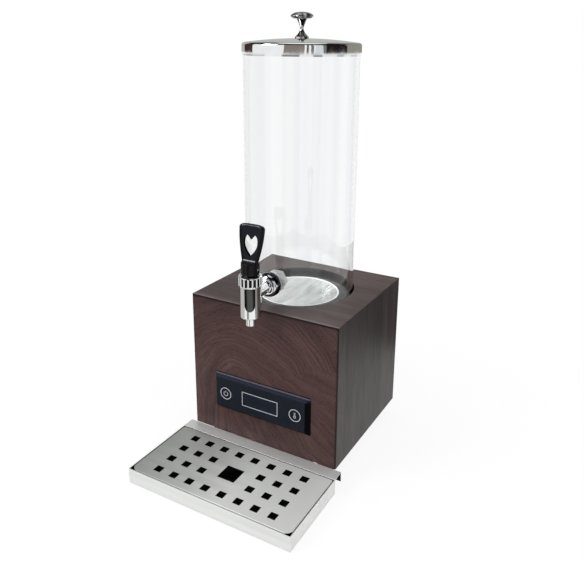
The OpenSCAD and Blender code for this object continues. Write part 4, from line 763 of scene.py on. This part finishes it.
lever = {"tall": 0.047, "neck": 0.022, "top": 0.035, "crown": 0.0049, "flare": 0.0426, "thick": 0.006, "lean": 7.5,
         "heartW": 0.0198, "heartH": 0.0266, "heartRise": 0.0066, "round": 0.0021, "rim": 0.0036, "dish": 0.0011,
         "sink": 0.001, "sill": 0.003, "steps": 22, "heartSteps": 72, "heelTall": 0.0085, "heelLap": 0.00005,
         "glintHalf": 0.013, "webNear": 0.0002}
lean = math.radians(lever["lean"])
leverUp, leverOut = Vector((0, math.sin(lean), math.cos(lean))), Vector((0, -math.cos(lean), math.sin(lean)))
pinLo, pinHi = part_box("lever_pin")
leverFoot = Vector((0, tapAxis[1], (pinLo.z + pinHi.z) / 2 + lever["heelTall"]))
web, crownLow = lever["thick"] / 2 - lever["dish"], lever["tall"] - lever["crown"]


def paddleHalf(h):
    share = math.sin(math.pi / 2 * min(1, max(0, h) / lever["flare"]))
    return lever["neck"] / 2 + (lever["top"] - lever["neck"]) / 2 * share


def paddleRing(inset, footH):  # the paddle's outline, drawn in
    side, count = crownLow - inset, lever["steps"]
    heights = [footH + (side - footH) * i / count for i in range(count + 1)]
    right = [(paddleHalf(h) - inset, h) for h in heights]
    shoulder = right[-1][0]
    for i in range(1, count):
        a = math.pi / 2 * i / count
        right.append((shoulder * math.sqrt(math.cos(a)), side + lever["crown"] * math.sin(a)))
    return right + [(-x, h) for x, h in reversed(right)]


def heartRing():
    points = []
    for i in range(lever["heartSteps"]):
        a = 2 * math.pi * i / lever["heartSteps"]
        rise = (15.6 + 13 * math.cos(a) - 3.6 * math.cos(2 * a) - 2 * math.cos(3 * a) - math.cos(4 * a)) / 27.2
        points.append((lever["heartW"] / 2 * math.sin(a) * abs(math.sin(a)) ** 0.9,
                       lever["heartRise"] + lever["heartH"] * rise))
    return points


def paddle():
    bm = bmesh.new()
    e, deep = lever["round"], lever["thick"] / 2
    profile = [(e * (1 - math.cos(a)), deep - e + e * math.sin(a), -lever["sink"])
               for a in map(math.radians, range(0, 91, 18))]
    for share, drop in ((0.25, 0.05), (0.5, 0.35), (0.75, 0.8), (1.0, 1.0)):
        profile.append((e + (lever["rim"] - e) * share, deep - lever["dish"] * drop, lever["sill"] * share))

    def loop(points, depth):
        return [bm.verts.new(leverFoot + Vector((x, 0, 0)) + leverUp * h + leverOut * depth) for x, h in points]

    ends = []
    for way in (1, -1):
        rings = [loop(paddleRing(inset, footH), depth * way) for inset, depth, footH in profile]
        for first, second in zip(rings, rings[1:]):
            wall(bm, first, second)
        heart = loop(heartRing(), web * way)
        pairs = [pair for ring in (rings[-1], heart) for pair in zip(ring, ring[1:] + ring[:1])]
        edges = [bm.edges.get(pair) or bm.edges.new(pair) for pair in pairs]
        bmesh.ops.triangle_fill(bm, use_beauty=True, edges=edges)
        ends.append((rings[0], heart))
    for first, second in zip(*ends):
        wall(bm, first, second)
    bmesh.ops.remove_doubles(bm, verts=bm.verts, dist=1e-7)
    return solidFrom(bm, "paddle")


block = 0.2
bm = bmesh.new()
bmesh.ops.create_cube(bm, size=block, matrix=Matrix.Translation(
    (0, tapAxis[1], leverFoot.z - lever["heelLap"] + block / 2)))
leverPiece = addObject("tapLever", mergedMesh("tap_lever"))
reshape(leverPiece, [("DIFFERENCE", solidFrom(bm, "aboveHeel")), ("UNION", paddle())])
stand(leverPiece, "tap_lever", 40)


def leverPlace(at, way):  # depth, height, and how squarely it faces the front or back
    away = at - leverFoot
    return away.dot(leverOut), away.dot(leverUp), abs(way.dot(leverOut))


def onWeb(at, way):
    depth, h, facing = leverPlace(at, way)
    return facing > 0.98 and abs(abs(depth) - web) < lever["webNear"]


def inHeart(at, way):
    depth, h, facing = leverPlace(at, way)
    within = lever["sill"] < h < crownLow and abs(depth) < web
    return facing < 0.3 and within and abs(at.x) < paddleHalf(h) - lever["rim"] * 0.8


def catchesLight(at, way):  # painted highlight: the dish's sill, and the rim under its crown
    depth, h, facing = leverPlace(at, way)
    if 0 < h < lever["tall"] / 2:
        return way.dot(leverUp) > 0.35 and way.dot(leverOut) > 0.3
    onRim = h > crownLow and depth > web + lever["dish"] * 0.6
    return onRim and facing > 0.9 and abs(at.x) < lever["glintHalf"]


paint(leverPiece, glossNavy=onWeb, holeShade=inHeart, leverGlint=catchesLight)
print("lever made")

# control panel

bezel = softCopy("panel_bezel", "panelBezel", softEdge["bezel"], flat=True)
paint(bezel, panelEdge=lambda at, way: way.y > -0.95)
for side in ("left", "right"):
    softCopy("button_" + side, "button." + side, softEdge["button"])
panelLines = {"ringOuter": 0.0087, "ringLine": 0.0009, "frameW": 0.0555, "frameH": 0.0205, "frameLine": 0.0008,
              "proud": 0.00012, "deep": 1.6}
powerMark = {"outer": 0.0036, "line": 0.0007, "turns": 48, "gap": 35, "low": 0.0012, "high": 0.0042}
coolMark = {"outer": 0.0019, "line": 0.0007, "turns": 32, "drop": 0.0022, "stemIn": 0.0004, "stemOut": 0.0009,
            "low": -0.0002, "high": 0.0042}


def flatRing(bm, x, y, z, outer, line, turns=64, first=0.0, last=360.0):
    closed = last - first >= 360
    count = turns if closed else max(6, int(turns * (last - first) / 360))
    rows = []
    for i in range(count if closed else count + 1):
        a = math.radians(first + (last - first) * i / count)
        rows.append([bm.verts.new((x + r * math.sin(a), y, z + r * math.cos(a))) for r in (outer - line, outer)])
    for (a, b), (c, d) in zip(rows, rows[1:] + rows[:1] if closed else rows[1:]):
        bm.faces.new((a, c, d, b))


def flatBar(bm, x0, x1, z0, z1, y):
    bm.faces.new([bm.verts.new(p) for p in ((x0, y, z0), (x1, y, z0), (x1, y, z1), (x0, y, z1))])


def raisedLines(name, draw, node, body):
    lo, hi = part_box(node)
    bm = bmesh.new()
    draw(bm, (lo.x + hi.x) / 2, lo.y - panelLines["proud"], (lo.z + hi.z) / 2)
    bmesh.ops.recalc_face_normals(bm, faces=bm.faces)
    for face in bm.faces:
        if face.normal.y > 0:
            face.normal_flip()
    sides = bmesh.ops.extrude_face_region(bm, geom=bm.faces[:])
    moved = [v for v in sides["geom"] if isinstance(v, bmesh.types.BMVert)]
    bmesh.ops.translate(bm, vec=(0, panelLines["proud"] * panelLines["deep"], 0), verts=moved)
    obj = solidFrom(bm, name)
    dress(obj, finishes["lineGrey"])
    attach(obj, body)


def leftMarks(bm, x, y, z):  # a plain power mark
    mark = powerMark
    half = mark["line"] / 2
    flatRing(bm, x, y, z, panelLines["ringOuter"], panelLines["ringLine"])
    flatRing(bm, x, y, z, mark["outer"], mark["line"], mark["turns"], mark["gap"], 360 - mark["gap"])
    flatBar(bm, x - half, x + half, z + mark["low"], z + mark["high"], y)


def rightMarks(bm, x, y, z):  # a plain temperature mark: a stem over a bulb
    mark = coolMark
    flatRing(bm, x, y, z, panelLines["ringOuter"], panelLines["ringLine"])
    flatRing(bm, x, y, z - mark["drop"], mark["outer"], mark["line"], mark["turns"])
    for x0, x1 in ((-mark["stemOut"], -mark["stemIn"]), (mark["stemIn"], mark["stemOut"])):
        flatBar(bm, x + x0, x + x1, z + mark["low"], z + mark["high"], y)


def displayLine(bm, x, y, z):
    w, h = panelLines["frameW"] / 2, panelLines["frameH"] / 2
    corners = ((-1, -1), (1, -1), (1, 1), (-1, 1))
    wall(bm, *([bm.verts.new((x + i * (w - inset), y, z + j * (h - inset))) for i, j in corners]
               for inset in (0, panelLines["frameLine"])))


for side, draw in (("left", leftMarks), ("right", rightMarks)):
    raisedLines("buttonMarks." + side, draw, "button_" + side, "button_" + side)
raisedLines("displayFrame", displayLine, "display_lens", "base")
print("panel made")

# drip tray and grille

tray = softCopy("drip_tray", "dripTray", softEdge["tray"], flat=True)
trayFit = {"back": -0.0535, "hook": -0.0364, "rim": 0.021, "skin": 0.0008, "low": 0.0006, "high": 0.0196,
           "stripLap": 0.0012, "channelLap": 0.0002}
trayLo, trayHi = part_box("drip_tray")


def trayShade(at, way):  # inside, under the grille and under the strip
    skin, back = trayFit["skin"], trayFit["back"]
    sump = (trayLo.x + skin < at.x < trayHi.x - skin and trayLo.y + skin < at.y < back - skin
            and trayFit["low"] < at.z < trayFit["high"])
    channel = back - trayFit["channelLap"] < at.y < trayFit["hook"] - skin and at.z < trayFit["rim"] - skin
    return sump or (channel and abs(way.x) < 0.5)


def trayStrip(at, way):
    return at.y > trayFit["back"] - trayFit["stripLap"] and way.z > 0.5


paint(tray, wetSump=trayShade, stripSteel=trayStrip)
grille = {"columns": 8, "rows": 4, "pitchX": 0.0244, "pitchY": 0.025, "hole": 0.0105, "middle": 0.025, "cutDeep": 0.004,
          "frontR": 0.009, "backR": 0.002, "leastR": 0.0003, "sheet": 0.001, "edge": 0.0008, "underStep": 0.0003,
          "cornerSteps": 10, "shadeIn": 0.0007, "shadeDown": 0.0003}
grilleLo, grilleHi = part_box("drip_grille")


def roundedOutline(inset):
    x0, x1, y0, y1 = grilleLo.x + inset, grilleHi.x - inset, grilleLo.y + inset, grilleHi.y - inset
    front, back = (max(grille[corner] - inset, grille["leastR"]) for corner in ("frontR", "backR"))
    points = []
    for cx, cy, r, start in ((x1 - front, y0 + front, front, -90), (x1 - back, y1 - back, back, 0),
                             (x0 + back, y1 - back, back, 90), (x0 + front, y0 + front, front, 180)):
        for i in range(grille["cornerSteps"] + 1):
            a = math.radians(start + 90 * i / grille["cornerSteps"])
            points.append((cx + r * math.cos(a), cy + r * math.sin(a)))
    return points


def grilleShell():
    bm = bmesh.new()
    e, t, top = grille["edge"], grille["sheet"], grilleHi.z
    outside = [(0.0, grilleLo.z)]
    outside += [(e * (1 - math.cos(a)), top - e + e * math.sin(a)) for a in map(math.radians, (0, 30, 60, 90))]
    inside = [(t, top - t), (t, top - t - grille["underStep"]), (t, grilleLo.z)]
    outer, inner = ([[bm.verts.new((x, y, z)) for x, y in roundedOutline(inset)] for inset, z in levels]
                    for levels in (outside, inside))
    for first, second in [*zip(outer, outer[1:]), *zip(inner, inner[1:]), (inner[-1], outer[0])]:
        wall(bm, first, second)
    bm.faces.new(outer[-1])
    bm.faces.new(inner[0][::-1])
    return solidFrom(bm, "dripGrille")


def grilleShade(at, way):  # the shaded underside
    near = grille["shadeIn"]
    within = grilleLo.x + near < at.x < grilleHi.x - near and grilleLo.y + near < at.y < grilleHi.y - near
    return within and at.z < grilleHi.z - grille["shadeDown"]


grillePiece = grilleShell()
middle = axisOf(grilleLo, grilleHi)
grow(grillePiece, holesTree(), "drip_grille", {
    "Columns": grille["columns"], "Rows": grille["rows"], "Pitch X": grille["pitchX"], "Pitch Y": grille["pitchY"],
    "Hole": grille["hole"], "Middle": grille["middle"], "Depth": grille["cutDeep"],
    "Centre": (middle[0], middle[1], grilleHi.z)})
stand(grillePiece, "drip_grille", 40)
paint(grillePiece, wetSump=grilleShade)
print("tray and grille made")

# back and underside

vent = {"slots": 11, "pitch": 0.108 / 11, "slotW": 0.005, "slotH": 0.046, "cutDeep": 0.02, "edge": 0.0005}
lo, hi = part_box("rear_vent")
bm = bmesh.new()
bmesh.ops.create_cube(bm, size=1.0, matrix=Matrix.Translation((lo + hi) / 2) @ Matrix.Diagonal((*(hi - lo), 1)))
bmesh.ops.bevel(bm, geom=bm.edges[:], offset=vent["edge"], segments=2, affect="EDGES", profile=0.5)
ventPiece = solidFrom(bm, "rearVent")
grow(ventPiece, slotsTree(), "rear_vent", {
    "Count": vent["slots"], "Pitch": vent["pitch"], "Size": (vent["slotW"], vent["cutDeep"], vent["slotH"]),
    "Centre": tuple((lo + hi) / 2)})
stand(ventPiece, "rear_vent")

feet = {"radius": 0.013, "edge": 0.0015, "softening": 0.0004, "taper": 0.001, "turns": 48}
lo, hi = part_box("feet")
footR, footH, soft = feet["radius"], hi.z - lo.z, feet["softening"]
lowR = footR - feet["taper"]
outline = [(0, 0), (lowR - feet["edge"], 0), (lowR - soft, soft), (lowR, feet["edge"]), (footR, footH), (0, footH)]
footCopy = lathe("footCopy", outline, feet["turns"])
spots = bpy.data.meshes.new("rubberFeet")
spots.from_pydata([(x, y, lo.z) for x in (lo.x + footR, hi.x - footR) for y in (lo.y + footR, hi.y - footR)], [], [])
feetPiece = addObject("rubberFeet", spots)
grow(feetPiece, copiesTree(), "feet", {"Copy": footCopy})
bpy.data.objects.remove(footCopy)
stand(feetPiece, "feet", 30)
softCopy("mains_inlet", "mainsInlet", softEdge["turned"])
print("back and feet made")

# stage, light and camera

stageLook = {"white": 1.0, "ambient": 0.55, "floorShadow": 0.12, "shadowNear": 0.25, "shadowFar": 0.6, "floorHalf": 8,
             "aim": (0, 0, 0.2)}


def seenRays(tree):  # from the camera, mirrored, or through something clear
    rays = tree.nodes.new("ShaderNodeLightPath").outputs
    first = maths("MAXIMUM", rays["Is Camera Ray"], rays["Is Glossy Ray"])
    return maths("MAXIMUM", first, rays["Is Transmission Ray"])


world = bpy.data.worlds.new("studio")
scene.world = world
world.use_nodes = True
tree = world.node_tree
tree.nodes.clear()
bright = addNode(tree, "ShaderNodeBackground", {"Color": (1, 1, 1, 1), "Strength": stageLook["white"]})
dim = addNode(tree, "ShaderNodeBackground", {"Color": (0.97, 0.98, 1, 1), "Strength": stageLook["ambient"]})
either = addNode(tree, "ShaderNodeMixShader", {
    "Fac": seenRays(tree), 1: dim["Background"], 2: bright["Background"]})
addNode(tree, "ShaderNodeOutputWorld", {"Surface": either["Shader"]})

side = stageLook["floorHalf"]
floorMesh = bpy.data.meshes.new("floor")
floorMesh.from_pydata([(-side, -side, 0), (side, -side, 0), (side, side, 0), (-side, side, 0)], [], [(0, 1, 2, 3)])
floor = addObject("floor", floorMesh)
shader, spot = startFinish("paleFloor")
tree = shader.id_data
feed(shader, {"Base Color": grey(0.9), "Roughness": 0.9, "Specular IOR Level": 0.0})
glow = addNode(tree, "ShaderNodeEmission", {"Strength": stageLook["white"]})
farOff = ranged(vectorMaths("LENGTH", spot), 1 - stageLook["floorShadow"], 1.0,
                stageLook["shadowNear"], stageLook["shadowFar"])
mixed = addNode(tree, "ShaderNodeMixShader", {
    "Fac": maths("MULTIPLY", seenRays(tree), farOff), 1: shader.outputs["BSDF"], 2: glow["Emission"]})
feed(tree.nodes["Material Output"], {"Surface": mixed["Shader"]})
dress(floor, finishes["paleFloor"])


def softLamp(name, at, size, power):
    data = bpy.data.lights.new(name, "AREA")
    data.shape = "RECTANGLE"
    data.size, data.size_y = size
    data.energy = power
    lamp = addObject(name, data)
    lamp.location = at
    lamp.rotation_euler = (Vector(stageLook["aim"]) - Vector(at)).to_track_quat("-Z", "Y").to_euler()
    return lamp


softLamp("key", (-1.1, -1.3, 1.5), (0.9, 0.9), 22)
for lamp in (softLamp("fill", (1.6, -0.6, 0.9), (0.8, 1.0), 9), softLamp("over", (0.0, 0.3, 2.0), (1.2, 1.2), 14)):
    lamp.visible_glossy = False  # the clear tube would mirror them as bright squares
    lamp.visible_transmission = False


# bands of tone that only polished surfaces see, by angle from the camera's side, rightwards positive
bands = [
    ("bandLeftDark", -136, -104, (62, 50, 46)), ("bandFrontBrown", -33, 5, (138, 128, 122)),
    ("bandStripeA", 9, 13, (96, 90, 88)), ("bandStripeB", 17, 22, (120, 116, 114)),
    ("bandPale", 25, 40, (226, 230, 234)), ("bandGrey", 40, 46, (128, 126, 124)),
    ("bandRightDark", 46, 93, (34, 29, 27)), ("bandKhaki", 93, 165, (150, 148, 138)),
    ("bandBack", 165, 224, (186, 188, 184)),
]
tubeBands = [
    ("tubeLeftEdge", -150, -128, (212, 212, 212)), ("tubeLeft", -128, -102, (150, 150, 150)),
    ("tubeLeftPale", -102, -72, (196, 196, 196)), ("tubeFront", -36, -3, (20, 20, 20)),
    ("tubeStripe", 21, 38, (20, 20, 20)), ("tubeRight", 68, 84, (170, 170, 170)),
    ("tubeRightEdge", 104, 128, (196, 196, 196)),
]
floorBands = [
    ("floorLeft", -150, -112, (70, 62, 58)), ("floorFront", -34, -18, (150, 146, 142)),
    ("floorPale", -112, -56, (198, 197, 195)), ("floorGrey", 40, 118, (152, 150, 147)),
    ("floorRight", 118, 150, (26, 23, 22)),
]
overBands = [
    ("overRight", -10, 112, (24, 22, 21)), ("overLeft", -140, -70, (30, 27, 26)),
    ("overFront", -70, -10, (26, 24, 23)), ("overBack", 112, 220, (142, 141, 139)),
]
bandPlace = {"centre": Vector((0.0, 0.064)), "step": 3, "towards": Vector((0.486, -0.874)),
             "rightwards": Vector((0.874, 0.486))}


def toneBand(name, first, last, colour, inner=2.2, outer=2.2, low=0.5, high=1.7):
    bm = bmesh.new()
    rows = []
    count = max(2, int(abs(last - first) / bandPlace["step"]))
    for i in range(count + 1):
        a = math.radians(first + (last - first) * i / count)
        way = bandPlace["towards"] * math.cos(a) + bandPlace["rightwards"] * math.sin(a)
        rows.append([bm.verts.new((*(bandPlace["centre"] + way * far), z)) for far, z in ((outer, low), (inner, high))])
    for (a, b), (c, d) in zip(rows, rows[1:]):
        bm.faces.new((a, c, d, b))
    band = solidFrom(bm, name)
    tree = startFinish(name)[0].id_data
    glow = addNode(tree, "ShaderNodeEmission", {"Color": tint(*colour)})
    feed(tree.nodes["Material Output"], {"Surface": glow["Emission"]})
    dress(band, finishes[name])
    band.visible_camera = band.visible_diffuse = band.visible_shadow = band.visible_transmission = False


nearFloor = 0.004
for band in bands:
    toneBand(*band)
for name, *rest in tubeBands:
    toneBand(name, *rest, low=nearFloor, high=0.49)
    toneBand(name + "Floor", *rest, inner=0.95, low=nearFloor, high=nearFloor)
for band in floorBands:
    toneBand(*band, inner=0.34, outer=0.94, low=nearFloor, high=nearFloor)
for band in overBands:
    toneBand(*band, inner=0.9, low=1.7, high=2.4)

view = {"at": (0.41366, -0.68031, 0.54924), "yaw": 29.317, "pitch": 15.761, "roll": 0.491, "sensor": 36,
        "focal": 645.943, "middle": (297.240, 222.976), "wide": 584, "high": 565}
camData = bpy.data.cameras.new("photoView")
cam = addObject("photoView", camData)
cam.location = view["at"]
turn = Matrix.Identity(3)
for angle, axis in ((view["yaw"], "Z"), (90 - view["pitch"], "X"), (view["roll"], "Z")):
    turn = turn @ Matrix.Rotation(math.radians(angle), 3, axis)
cam.rotation_euler = turn.to_euler()
camData.sensor_fit = "HORIZONTAL"
camData.sensor_width = view["sensor"]
camData.lens = view["focal"] / view["wide"] * view["sensor"]
camData.shift_x = (view["wide"] / 2 - view["middle"][0]) / view["wide"]
camData.shift_y = (view["middle"][1] - view["high"] / 2) / view["wide"]
camData.clip_start = 0.01
scene.camera = cam
scene.view_settings.view_transform = "Standard"
print("stage set")
